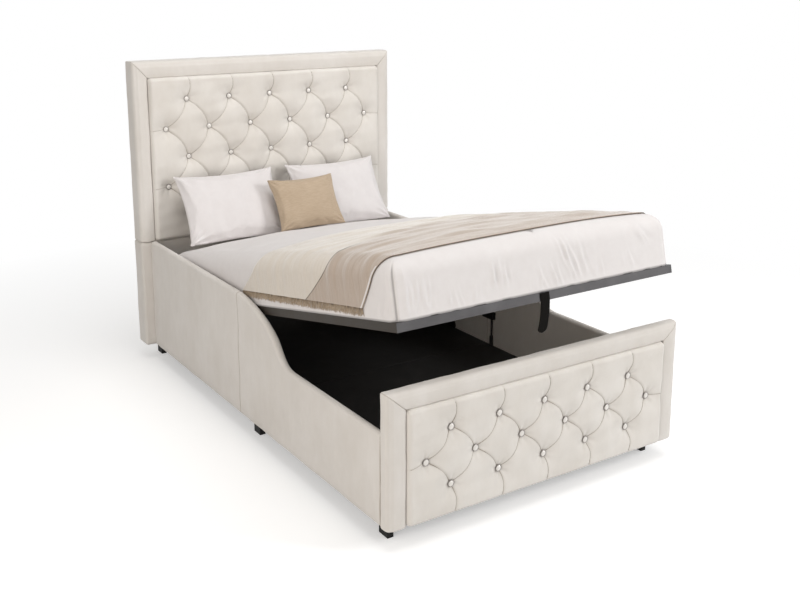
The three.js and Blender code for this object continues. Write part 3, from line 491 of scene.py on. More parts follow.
@dataclass(frozen=True)
class Velvet:
    """Short-piled velvet whose nap lies a little differently from place to place."""

    name: str
    lit: Colour = (0.680, 0.648, 0.614)
    dim: Colour = (0.625, 0.589, 0.548)
    # The colour of painted shade, laid where the shade attribute is 1: creases, button rings,
    # mitres and rail ends.
    crease: Colour = (0.33, 0.285, 0.24)

    def material(self) -> Material:
        """Nap patches in the colour, painted shade where the shade attribute is 1, and a fine
        pile.

        Returns:
            The material.
        """
        work = Wiring(self.name)
        patches = work.noise(work.scaled((1.0, 1.0, 0.6)), 7.0, 4.0, 0.6)
        rubs = work.noise(work.scaled((1.0, 1.0, 0.45), (0.0, 0.5, 0.0)), 34.0, 3.0, 0.6)
        nap = work.blend(work.stretch(patches, 0.35, 0.68), self.lit, self.dim)
        worn = work.blend(work.stretch(rubs, 0.5, 0.8, 0.0, 0.45), nap, self.dim)
        # Painted shade: the crease colour is mixed in by the mesh's shade attribute.
        work.paint(work.blend(work.shade(), worn, self.crease))
        pile = work.noise(work.scaled(), 1500.0, 2.0)
        soft = work.noise(work.scaled(), 60.0, 3.0)
        work.relief([(soft, 0.22, 0.0016), (pile, 0.3, 0.0004)])
        work.constants(Roughness=0.86, Sheen_Weight=0.35, Sheen_Roughness=0.45)
        work.constants(Specular_IOR_Level=0.25)
        return work.material


@dataclass(frozen=True)
class Cloth:
    """Woven cloth with fine threads across each other and uneven yarn."""

    name: str
    light: Colour
    dark: Colour
    threads: float = 900.0
    streak: Colour = EVEN
    streak_scale: float = 60.0
    streak_share: float = 0.5
    turn: Colour = UNTURNED
    relief: float = 0.35
    # The colour of painted shade, laid where the mesh's shade attribute is 1.
    seam: Colour = (0.2, 0.17, 0.14)
    uv: bool = False
    rough: float = 0.9
    fuzz: float = 0.15
    shine: float = 0.15
    wrinkle: float = 0.0

    def material(self) -> Material:
        """Yarn streaks in the colour, a crossed weave in the relief, and the seam colour as
        painted shade where the shade attribute is 1.

        Returns:
            The material.
        """
        work = Wiring(self.name)
        where = work.scaled(self.streak, self.turn, self.uv)
        yarn = work.noise(where, self.streak_scale, 4.0, 0.65)
        shades = work.noise(work.scaled(EVEN, self.turn, self.uv), 9.0, 3.0)
        streaks = work.stretch(yarn, 0.3, 0.72, 0.0, self.streak_share * 2)
        base = work.blend(streaks, self.light, self.dark)
        aged = work.blend(work.stretch(shades, 0.35, 0.75, 0.0, 0.35), base, self.dark)
        # Painted shade: the seam colour is mixed in by the mesh's shade attribute.
        work.paint(work.blend(work.shade(), aged, self.seam))
        bumps = work.weave(self.threads / 3.1416 / 2, self.relief, self.turn, self.uv)
        if self.wrinkle:
            wrinkles = work.noise(work.scaled((1.0, 1.0, 0.6)), 15.0, 2.0, 0.45)
            bumps.append((wrinkles, self.wrinkle, 0.006))
        work.relief([(yarn, 0.3, 0.0008), *bumps])
        work.constants(Roughness=self.rough, Sheen_Weight=self.fuzz, Specular_IOR_Level=self.shine)
        return work.material


@dataclass(frozen=True)
class TwoTone:
    """The throw's weave: a pale part and a darker band, where the shade is 1."""

    name: str
    pale: tuple[Colour, Colour] = ((0.68, 0.62, 0.55), (0.60, 0.54, 0.465))
    band: tuple[Colour, Colour] = ((0.485, 0.40, 0.335), (0.38, 0.305, 0.245))

    def material(self) -> Material:
        """Yarn streaks along the throw in both tones, under one crossed weave.

        Returns:
            The material.
        """
        work = Wiring(self.name)
        yarn = work.noise(work.scaled((1.5, 24.0, 1.0), uv=True), 13.0, 4.0, 0.65)
        streaks = work.stretch(yarn, 0.3, 0.72)
        tones = [work.blend(streaks, *tone) for tone in (self.pale, self.band)]
        work.paint(work.blend(work.shade(), *tones))
        creases = work.noise(work.scaled((0.7, 7.0, 1.0), (0.0, 0.0, 0.12), True), 5.0, 2.0, 0.5)
        weave = work.weave(110.0, 0.5, UNTURNED, True)
        work.relief([(yarn, 0.35, 0.0010), (creases, 0.6, 0.0060), *weave])
        work.constants(Roughness=0.9, Sheen_Weight=0.9, Sheen_Roughness=0.4)
        work.constants(Specular_IOR_Level=0.2)
        return work.material


@dataclass(frozen=True)
class Coated:
    """Painted steel or moulded plastic: an even coat, faint mottling and rubbed places."""

    name: str
    coat: Colour
    rub: Colour
    metallic: float = 0.0
    rough: float = 0.45
    grain: float = 900.0
    relief: float = 0.12
    shine: float = 0.5

    def material(self) -> Material:
        """Coat and rub colours mixed by noise, uneven gloss and an orange-peel relief.

        Returns:
            The material.
        """
        work = Wiring(self.name)
        cloud = work.noise(work.scaled(), 14.0, 5.0, 0.7)
        work.paint(work.blend(work.stretch(cloud, 0.42, 0.72, 0.0, 0.7), self.coat, self.rub))
        gloss = work.stretch(cloud, 0.3, 0.7, self.rough - 0.08, self.rough + 0.1)
        work.join(gloss, work.shader.inputs["Roughness"])
        peel = work.noise(work.scaled(), self.grain, 2.0)
        work.relief([(peel, self.relief, 0.0003)])
        work.constants(Metallic=self.metallic, Specular_IOR_Level=self.shine)
        return work.material


@dataclass(frozen=True)
class Timber:
    """Laminated slat wood with long grain across the bed."""

    name: str
    light: Colour = (0.56, 0.40, 0.235)
    dark: Colour = (0.40, 0.255, 0.135)
    pore: Colour = (0.22, 0.13, 0.07)

    def material(self) -> Material:
        """Noise stretched along the slat gives the grain in colour, gloss and relief.

        Returns:
            The material.
        """
        work = Wiring(self.name)
        grain = work.noise(work.scaled((0.9, 22.0, 22.0)), 6.0, 6.0, 0.62)
        pores = work.noise(work.scaled((3.0, 260.0, 260.0)), 3.0, 2.0)
        base = work.blend(work.stretch(grain, 0.32, 0.7), self.light, self.dark)
        work.paint(work.blend(work.stretch(pores, 0.62, 0.8, 0.0, 0.5), base, self.pore))
        work.relief([(grain, 0.25, 0.0006), (pores, 0.2, 0.0003)])
        work.constants(Roughness=0.52, Coat_Weight=0.15)
        return work.material


@dataclass(frozen=True)
class Pearl:
    """Glossy pearl of the buttons' domes."""

    name: str
    light: Colour = (0.80, 0.77, 0.73)
    dark: Colour = (0.64, 0.61, 0.58)

    def material(self) -> Material:
        """Two close creams mixed by noise under a clear coat.

        Returns:
            The material.
        """
        work = Wiring(self.name)
        cloud = work.noise(work.scaled(), 90.0, 2.0)
        work.paint(work.blend(cloud, self.light, self.dark))
        work.relief([(cloud, 0.1, 0.0004)])
        work.constants(Roughness=0.16, Coat_Weight=0.8, Coat_Roughness=0.05)
        return work.material


class Finishes:
    """Every material of the bed, made once."""

    def __init__(self) -> None:
        """Builds the materials."""
        self.velvet = Velvet("velvet_nap").material()
        # A darker, browner copy of the platform steel, as painted shade for the tubes that lie
        # under the mattress.
        self.shaded_side_steel = Coated(
            "side_tube_coat_painted_shade", (0.031, 0.025, 0.0195), (0.046, 0.037, 0.029), 0.05, 0.5, shine=0.25,
        ).material()
        self.tufted = Velvet(
            "velvet_tufted", (0.705, 0.674, 0.636), (0.650, 0.614, 0.570),
        ).material()
        self.pearl = Pearl("button_pearl").material()
        self.rim = Coated(
            "button_rim", (0.27, 0.25, 0.235), (0.40, 0.38, 0.36), 1.0, 0.3,
        ).material()
        # Dark tubes along the pleats, as painted shade in the creases of the tufting.
        self.thread = Cloth(
            "pleat_crease_painted_shade", (0.36, 0.305, 0.25), (0.24, 0.20, 0.16), 1500.0, relief=0.2,
        ).material()
        # Its seam colour is painted shade: a shadow line along the hem over the tubes and down
        # each corner groove.
        self.ticking = Cloth(
            "mattress_cotton_cloth", (0.718, 0.690, 0.683), (0.668, 0.635, 0.626), 1400.0,
            streak_scale=30.0, streak_share=0.3, relief=0.12, seam=(0.26, 0.25, 0.25),
        ).material()
        self.cotton = Cloth(
            "pillow_cotton_cloth", (0.705, 0.676, 0.675), (0.650, 0.618, 0.616), 1500.0,
            streak_scale=26.0, streak_share=0.3, relief=0.1, wrinkle=0.45,
        ).material()
        self.linen = Cloth(
            "cushion_linen_weave", (0.505, 0.40, 0.298), (0.375, 0.29, 0.203), 620.0,
            streak=(1.6, 10.0, 22.0), streak_scale=20.0, streak_share=0.40,
            turn=(math.radians(8.0), 0.0, 0.0), relief=0.5, seam=(0.66, 0.57, 0.45),
        ).material()
        self.throw = TwoTone("throw_weave").material()
        # Its seam colour is painted shade at the tops of the yarn ends, under the hem.
        self.fringe = Cloth(
            "throw_fringe_yarn", (0.56, 0.46, 0.35), (0.34, 0.265, 0.195), 500.0,
            streak_scale=160.0, streak_share=0.6, relief=0.5, seam=(0.050, 0.036, 0.026),
        ).material()
        self.piping = Cloth(
            "throw_piping_cord", (0.13, 0.105, 0.08), (0.08, 0.06, 0.045), relief=0.4,
        ).material()
        self.webbing = Cloth(
            "strap_webbing_weave", (0.010, 0.009, 0.0075), (0.005, 0.0045, 0.004), 520.0,
            streak=(30.0, 1.0, 1.0), streak_scale=20.0, relief=0.9, uv=True, rough=0.7,
            fuzz=0.0, shine=0.04,
        ).material()
        self.steel = Coated(
            "platform_steel_coat", (0.072, 0.069, 0.072), (0.094, 0.090, 0.092), 0.35, 0.40,
        ).material()
        self.black_steel = Coated(
            "hardware_steel_coat", (0.018, 0.018, 0.019), (0.035, 0.034, 0.034), 0.5, 0.4,
        ).material()
        self.plastic = Coated(
            "foot_plastic_skin", (0.009, 0.009, 0.009), (0.018, 0.0175, 0.017), 0.0, 0.6,
            700.0, 0.25, 0.2,
        ).material()
        self.board = Coated(
            "storage_board_film", (0.016, 0.0155, 0.015), (0.03, 0.028, 0.027), 0.0, 0.72,
            300.0, 0.2,
        ).material()
        self.chrome = Coated(
            "strut_rod_chrome", (0.78, 0.78, 0.79), (0.66, 0.66, 0.67), 1.0, 0.14, 600.0, 0.04,
        ).material()
        self.timber = Timber("slat_wood_grain").material()

    def dress_nodes(self) -> None:
        """Gives every CAD node the finish of the slot that its imported material names."""
        by_slot = {
            "velvet": self.velvet, "tufted_velvet": self.tufted, "black_plastic": self.plastic,
            "storage_board": self.board, "chrome_rod": self.chrome, "grey_steel": self.steel,
            "slat_wood": self.timber, "webbing": self.webbing, "mattress_cotton": self.ticking,
            "pillow_cotton": self.cotton, "cushion_linen": self.linen, "throw_knit": self.throw,
            "black_steel": self.black_steel,
        }
        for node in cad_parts.values():
            node.data.materials[0] = by_slot[node.data.materials[0].name.split(".")[0]]
        # These tubes take the darker copy of the steel: painted shade under the mattress.
        for side in ("left", "right", "rear", "centre"):
            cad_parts[f"platform_tube_{side}"].data.materials[0] = self.shaded_side_steel
        LOG.info("%d CAD nodes have their finishes", len(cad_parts))


# ---- tufted panels


@dataclass(frozen=True)
class Pleat:
    """One folded line of a tufted panel, bowed towards +X."""

    start: tuple[float, float]
    end: tuple[float, float]
    deep_start: float
    deep_middle: float
    deep_end: float
    line: float
    bow: float = 0.085

    def axes(self) -> tuple[Array, float, Array, Array]:
        """The pleat's straight line.

        Returns:
            Its run, its length, its direction and the direction across it towards +X.
        """
        run = np.subtract(self.end, self.start)
        length = float(np.hypot(*run))
        ahead = run / length
        side = np.array([-ahead[1], ahead[0]])
        return run, length, ahead, side if side[0] > 0 else -side


@dataclass(frozen=True)
class Tufting:
    """How the cloth of a tufted panel folds, with its depths as shares of the crown."""

    full: float = 1.30
    middle: float = 0.50
    deepest: float = 1.80
    near_fall: float = 0.007
    far_fall: float = 0.018
    dimple: float = 2.0
    dimple_flat: float = 0.011
    dimple_fall: float = 0.028
    slit: float = 0.0012
    slit_reach: float = 0.0032
    line_painted_shade: float = 0.32
    line_reach: float = 0.0034
    pucker: float = 0.0013
    pucker_at: float = 0.028
    pucker_reach: float = 0.016
    button_painted_shade: float = 0.42
    button_reach: float = 0.0150
    side_margin: float = 0.03


@dataclass
class TuftedPanel:
    """A button-tufted panel set in its surround."""

    name: str
    node: str
    half: float
    low: float
    high: float
    face: float
    back: float
    crown: float
    pitch: float
    row_pitch: float
    top_row: float
    rows: int
    finishes: Finishes
    body: str = "bed_base"
    step: float = 0.0032
    edge_roll: float = 0.017
    gap: float = 0.0012
    button_radius: float = 0.0134
    corner: float = 0.016
    lip: float = 0.004
    tufting: Tufting = Tufting()
    buttons: Array = field(init=False)

    def __post_init__(self) -> None:
        """Sets the buttons in staggered rows: five in the first row, six in the next."""
        places = []
        for row in range(self.rows):
            count = 6 if row % 2 else 5
            xs = (np.arange(count) - (count - 1) / 2) * self.pitch
            up = np.full(count, self.top_row - row * self.row_pitch)
            places.append(np.column_stack([xs, up, np.full(count, row)]))
        self.buttons = np.concatenate(places)

    def pleats(self) -> list[Pleat]:
        """Diagonal pleats between neighbouring rows, and short ones out to the edges.

        Returns:
            The pleats, with the ones that run down to the right the sharper.
        """
        full, middle = self.crown * self.tufting.full, self.crown * self.tufting.middle
        ends = ((0, 0.004, self.high), (self.rows - 1, 0.008, self.low))
        lines = []
        for x, z, row in self.buttons:
            if row < self.rows - 1:
                for side, line, share in ((1, 0.85, 1.0), (-1, 0.42, 0.8)):
                    end = (x + side * self.pitch / 2, z - self.row_pitch)
                    if abs(end[0]) < self.half - self.tufting.side_margin:
                        lines.append(Pleat((x, z), end, full, middle * share, full, line))
            for edge_row, aside, edge in ends:
                if row == edge_row:
                    shares = (full, middle * 0.75, middle * 0.7)
                    lines.append(Pleat((x, z), (x + aside, edge), *shares, 0.55, 0.12))
            if row % 2 and abs(x) > 2.4 * self.pitch:
                end = (math.copysign(self.half, x), z - 0.004)
                lines.append(Pleat((x, z), end, full, middle * 0.6, middle * 0.25, 0.35, 0.0))
        return lines

    def heights(self, x: Array, z: Array) -> tuple[Array, Array]:
        """How far the cloth stands out, and the painted shade along its folds and round its
        buttons.

        Formula: the crown less the folds. A fold's depth falls off exponentially on both
        sides of its bowed line, faster on the side that it is bowed to, and the folds and
        the dimples of the buttons are summed as the cube root of their cubes, which a
        hyperbolic tangent holds under the deepest that the padding gives. Small radial
        ripples surround each button, and a quarter circle rolls the edge back.

        Args:
            x: Places across.
            z: Places up.

        Returns:
            The heights over the surround's face, and the painted shade from 0 to 1.
        """
        cloth = self.tufting
        cubes, slit, dark = np.zeros_like(x), np.zeros_like(x), np.zeros_like(x)
        for pleat in self.pleats():
            _, length, ahead, side = pleat.axes()
            from_x, from_z = x - pleat.start[0], z - pleat.start[1]
            along = (from_x * ahead[0] + from_z * ahead[1]) / length
            inside = np.clip(along, 0.0, 1.0)
            bowed = pleat.bow * length * np.sin(math.pi * inside)
            across = from_x * side[0] + from_z * side[1] - bowed
            away = np.hypot(across, (along - inside) * length)
            ends = np.where(inside < 0.5, pleat.deep_start, pleat.deep_end)
            middle = np.abs(2 * inside - 1) ** 1.8
            deep = pleat.deep_middle + (ends - pleat.deep_middle) * middle
            wide = np.where(across > 0, 0.8, 1.2)
            near, far = np.exp(-away / (cloth.near_fall * wide)), np.exp(-away / cloth.far_fall)
            cubes += (deep * (0.5 * near + 0.5 * far)) ** 3
            line = pleat.line * cloth.slit * np.exp(-((away / cloth.slit_reach) ** 2))
            slit = np.maximum(slit, line)
            # Painted shade: a dark line along each pleat's crease.
            shadow = cloth.line_painted_shade * pleat.line * np.exp(-((away / cloth.line_reach) ** 2))
            dark = np.maximum(dark, shadow)
        puckers = np.zeros_like(x)
        for index, (bx, bz, _) in enumerate(self.buttons):
            out = np.hypot(x - bx, z - bz)
            turn = np.arctan2(z - bz, x - bx)
            past = np.maximum(out - cloth.dimple_flat, 0)
            cubes += (self.crown * cloth.dimple * np.exp(-past / cloth.dimple_fall)) ** 3
            ring = np.exp(-(((out - cloth.pucker_at) / cloth.pucker_reach) ** 2))
            puckers += cloth.pucker * ring * np.cos(7 * turn + 1.7 * index)
            # Painted shade: a dark ring round each button, in its dimple.
            shadow = cloth.button_painted_shade * np.exp(-((out / cloth.button_reach) ** 4))
            dark = np.maximum(dark, shadow)
        deepest = self.crown * cloth.deepest
        depth = deepest * np.tanh(np.cbrt(cubes) / deepest)
        height = self.crown - depth - slit + puckers
        height += 0.0007 * unevenness(np.stack([x, z], -1), 0.09, 5)
        middle_z, half_z = (self.high + self.low) / 2, (self.high - self.low) / 2
        past_x = np.abs(x) - (self.half - self.corner)
        past_z = np.abs(z - middle_z) - (half_z - self.corner)
        rounded = self.corner - np.hypot(np.maximum(past_x, 0), np.maximum(past_z, 0))
        furthest = np.maximum(past_x, past_z)
        edge = np.where(furthest > 0, rounded, self.corner - furthest)
        rolled = np.clip(1 - edge / self.edge_roll, 0.0, 1.0)
        height = (height + self.lip) * np.sqrt(1 - rolled**2) - self.lip
        height = height - np.clip(-3 * edge, 0.0, 0.013)
        return height, np.clip(dark, 0.0, 1.0)

    def build_all(self) -> None:
        """Makes the panel, its buttons and the dark tubes that paint shade along its creases."""
        self.build()
        self.build_buttons()
        self.build_crease_shade_lines()

    def build(self) -> Piece:
        """Makes the padded panel as one closed skin.

        Returns:
            The panel.
        """
        margin = np.array([0.0, 0.0008, 0.002, 0.0038, 0.006, 0.0088, 0.012])
        inset = 0.0155
        inner_x = spaced(-self.half + inset, self.half - inset, self.step)
        inner_z = spaced(self.low + inset, self.high - inset, self.step)
        xs = np.concatenate([-self.half + margin, inner_x, self.half - margin[::-1]])
        zs = np.concatenate([self.low + margin, inner_z, self.high - margin[::-1]])
        z, x = np.meshgrid(zs, xs, indexing="ij")
        height, dark = self.heights(x, z)
        shrink = 1 - self.gap / self.half
        front = np.stack([x * shrink, self.face - height, z], axis=-1)
        surface = Surface()
        # The shade attribute carries painted shade along the creases and round the buttons.
        surface.grid(front, value=dark)
        rim = np.concatenate([front[0], front[1:, -1], front[-1, -2::-1], front[-2:0:-1, 0]])
        behind = rim.copy()
        behind[:, 1] = self.back
        surface.grid(np.stack([rim, behind]), wrap_columns=True, cap_last=True)
        made = surface.build(self.name, [self.finishes.tufted], 60.0)
        weld(made)
        return settle(made, self.body, (self.node,))

    def build_buttons(self) -> Piece:
        """Makes the buttons: a pearl dome in a dark rim, turned about each button's middle.

        Formula: the dome is a circle's height over its radius, and the rim a small circle
        carried round the button.

        Returns:
            The buttons as one piece.
        """
        surface = Surface()
        heights, _ = self.heights(self.buttons[:, 0], self.buttons[:, 1])
        turn = round_angles(20)
        dome_radius = self.button_radius * 0.8
        share = np.sin(np.linspace(0.06, 1.0, 6) * math.pi / 2)
        lift = 0.0036 * np.sqrt(np.clip(1 - share**2, 0, 1)) + 0.0034
        small = round_angles(8)
        rim_radius = self.button_radius * 0.86 + 0.0017 * np.cos(small)
        rim_lift = 0.0031 + 0.0019 * np.sin(small)
        for (bx, bz, _), height in zip(self.buttons, heights):
            base = self.face - float(height) - 0.0030
            for radii, lifts, rim in ((share * dome_radius, lift, 0), (rim_radius, rim_lift, 1)):
                x = bx + radii[:, None] * np.cos(turn)
                z = bz + radii[:, None] * np.sin(turn)
                y = base - np.repeat(lifts[:, None], len(turn), axis=1)
                surface.grid(np.stack([x, y, z], -1), bool(rim), True, not rim, not rim, rim)
        materials = [self.finishes.pearl, self.finishes.rim]
        made = surface.build(f"{self.name}_buttons", materials, 40.0)
        return settle(made, self.body)

    def build_crease_shade_lines(self) -> Piece:
        """Makes a thin dark tube along every pleat, as painted shade in its crease.

        Formula: a small circle carried along the pleat's bowed line at the cloth's height.

        Returns:
            The dark crease tubes as one piece.
        """
        surface = Surface()
        share = np.linspace(0.0, 1.0, 44)
        turn = round_angles(5)
        trim, margin = 0.010, 0.004
        for pleat in self.pleats():
            run, length, _, side = pleat.axes()
            trimmed = trim / length + share * (1 - 2 * trim / length)
            bowed = pleat.bow * length * np.sin(math.pi * trimmed)
            flat = np.array(pleat.start) + run * trimmed[:, None] + side * bowed[:, None]
            flat[:, 0] = np.clip(flat[:, 0], -self.half + margin, self.half - margin)
            flat[:, 1] = np.clip(flat[:, 1], self.low + margin, self.high - margin)
            height, _ = self.heights(flat[:, 0], flat[:, 1])
            radius = (0.0006 + 0.0008 * pleat.line) * (0.6 + 0.4 * np.abs(2 * share - 1))
            way = headings(flat)
            beside = radius[:, None] * np.cos(turn)[None]
            x = flat[:, :1] - way[:, 1:] * beside
            z = flat[:, 1:] + way[:, :1] * beside
            y = self.face - height[:, None] - 0.0004 + radius[:, None] * np.sin(turn)[None]
            surface.tube(np.stack([x, y, z], -1))
        # The tubes wear a dark finish as painted shade along the creases.
        made = surface.build(f"{self.name}_creases", [self.finishes.thread], 60.0)
        return settle(made, self.body)


def weld(piece: Piece, distance: float = 1e-6) -> None:
    """Merges the doubled points of a piece and turns its faces outwards.

    Args:
        piece: The object whose mesh is mended.
        distance: Points nearer than this become one.
    """
    work = bmesh.new()
    work.from_mesh(piece.data)
    bmesh.ops.remove_doubles(work, verts=work.verts, dist=distance)
    bmesh.ops.recalc_face_normals(work, faces=work.faces)
    work.to_mesh(piece.data)
    work.free()


# ---- padded surrounds, slabs and rails


@dataclass
class Surround:
    """The padded border round a panel, mitred at its two upper corners."""

    name: str
    node: str
    half: float
    low: float
    top: float
    face: float
    back: float
    side_border: float
    top_border: float
    edge: float
    recess: float
    finishes: Finishes
    body: str = "bed_base"
    puff: float = 0.0042

    def profile(self) -> tuple[Array, Array, Array]:
        """The border's section, from the recess over the front and round to the back.

        Formula: straight walls joined by quarter circles, with the front raised by the puff
        times the sine of the way across.

        Returns:
            Shares across the border from the outer edge, depths behind the face, and the
            outward normals.
        """
        border, deep, edge, lip = self.side_border, self.back - self.face, self.edge, 0.004
        arc = np.radians(np.linspace(0, 90, 7))
        inner = [(border, d) for d in np.linspace(self.recess, lip, 4)]
        rounding = [(border - lip + lip * math.cos(a), lip - lip * math.sin(a)) for a in arc]
        ways_in = np.linspace(border - lip, edge, 12)[1:-1]
        front = [(w, -self.puff * math.sin(math.pi * w / border)) for w in ways_in]
        outer = [(edge - edge * math.sin(a), edge - edge * math.cos(a)) for a in arc]
        side = [(0.0, d) for d in np.linspace(edge, deep - edge, 8)[1:-1]]
        rear = [(edge - edge * math.cos(a), deep - edge + edge * math.sin(a)) for a in arc]
        behind = [(w, deep) for w in np.linspace(edge, border, 5)[1:]]
        section = np.array(inner + rounding + front + outer + side + rear + behind)
        ways = np.roll(section, -1, 0) - np.roll(section, 1, 0)
        normals = np.stack([ways[:, 1], -ways[:, 0]], 1)
        normals /= np.linalg.norm(normals, axis=1, keepdims=True)
        return section[:, 0] / border, section[:, 1], -normals

    def build(self) -> Piece:
        """Carries the section up one side, across the top and down the other side.

        Returns:
            The surround with its back panel.
        """
        share, depth, normals = self.profile()
        near = np.array([0.0, 0.0009, 0.002, 0.0034, 0.0055, 0.009, 0.015, 0.024])
        legs = []
        tall = self.top - self.low
        for leg, length in (("left", tall), ("top", 2 * self.half), ("right", tall)):
            ends = [near, spaced(0.036, length - 0.036, 0.012), length - near[::-1]]
            legs.append((leg, np.concatenate(ends) / length, length))
        rows, groove = [], []
        for leg, shares, length in legs:
            mitres = {"left": 1 - shares, "top": np.minimum(shares, 1 - shares), "right": shares}
            from_mitre = mitres[leg] * length
            dent = 0.0026 * np.exp(-((from_mitre / 0.0019) ** 2))
            if leg != "top":
                from_foot = (shares if leg == "left" else 1 - shares) * length
                rolled = np.clip(1 - from_foot / 0.006, 0, 1)
                dent = dent + 0.006 * (1 - np.sqrt(1 - rolled**2))
            w_share = share[None] - dent[:, None] * normals[None, :, 0] / self.side_border
            d = depth[None] - dent[:, None] * normals[None, :, 1]
            across = self.half - w_share * self.side_border
            high = self.top - w_share * self.top_border
            if leg == "top":
                x, z = across * (2 * shares[:, None] - 1), high
            else:
                way = shares[:, None] if leg == "left" else 1 - shares[:, None]
                x = across * (-1 if leg == "left" else 1)
                z = self.low + (high - self.low) * way
            first = 1 if rows else 0
            # Painted shade along each mitre's dent, kept as the shade attribute.
            line = np.exp(-((from_mitre / 0.0017) ** 2))[:, None]
            groove.append(np.repeat(line, len(share), 1)[first:])
            rows.append(np.stack([x, self.face + d, z], -1)[first:])
        points = np.concatenate(rows)
        ways = [self.directions(leg, normals, len(row)) for (leg, _, _), row in zip(legs, rows)]
        swell = 0.0003 * unevenness(points, 0.16, 3) + 0.00025 * unevenness(points, 0.04, 8)
        points = points + np.concatenate(ways) * swell[..., None]
        surface = Surface()
        surface.tube(points, value=np.concatenate(groove) * 0.55)
        inner, top, lap = self.half - self.side_border, self.top - self.top_border, 0.002
        deep = (self.face + self.recess, self.back - 0.0005)
        slab_grid(surface, (-inner - lap, inner + lap), (self.low, top + lap), deep, lap)
        made = surface.build(self.name, [self.finishes.velvet], 55.0)
        return settle(made, self.body, (self.node,))

    def directions(self, leg: str, normals: Array, rows: int) -> Array:
        """The section's outward directions on one leg.

        Args:
            leg: The leg: left, top or right.
            normals: The section's own directions.
            rows: How many rows the leg has.

        Returns:
            The directions as (x, y, z) for each row.
        """
        flat, deep = normals[:, 0], normals[:, 1]
        zero = np.zeros_like(flat)
        sides = {
            "left": (flat, deep, zero), "top": (zero, deep, -flat), "right": (-flat, deep, zero),
        }[leg]
        return np.repeat(np.stack(sides, -1)[None], rows, axis=0)


def slab_grid(
    surface: Surface,
    across: tuple[float, float],
    up: tuple[float, float],
    deep: tuple[float, float],
    edge: float,
    swell: float = 0.0,
    seed: int = 1,
) -> None:
    """Adds a slab that faces along Y, with rounded edges.

    Formula: a rounded rectangle in X and Z is drawn in by the edge radius times one minus
    the cosine of a quarter turn, at the front and at the back, and carried through Y.

    Args:
        surface: Where the grid goes.
        across: The lowest and highest x.
        up: The lowest and highest z.
        deep: The lowest and highest y.
        edge: The radius of the edges.
        swell: How far the cloth rises and falls.
        seed: Picks the unevenness.
    """
    corner = max(edge * 1.05, 0.002)
    half_u, half_v = (across[1] - across[0]) / 2, (up[1] - up[0]) / 2
    table = rounded_rectangle(half_u, half_v, corner, (0.02,) * 4)
    arc = np.radians(np.linspace(0, 90, 5))
    inset = edge * (1 - np.sin(arc))
    inset = np.concatenate([inset, inset[::-1]])
    rolled = edge * (1 - np.cos(arc))
    place = np.concatenate([deep[0] + rolled, deep[1] - rolled[::-1]])
    reach = corner - inset[:, None]
    x = sum(across) / 2 + table[None, :, 0] + table[None, :, 2] * reach
    z = sum(up) / 2 + table[None, :, 1] + table[None, :, 3] * reach
    y = np.repeat(place[:, None], len(table), 1)
    points = np.stack([x, y, z], -1)
    if swell:
        lift = swell * unevenness(points, 0.12, seed)
        points[..., 0] += lift * table[None, :, 2]
        points[..., 2] += lift * table[None, :, 3]
    surface.tube(points)


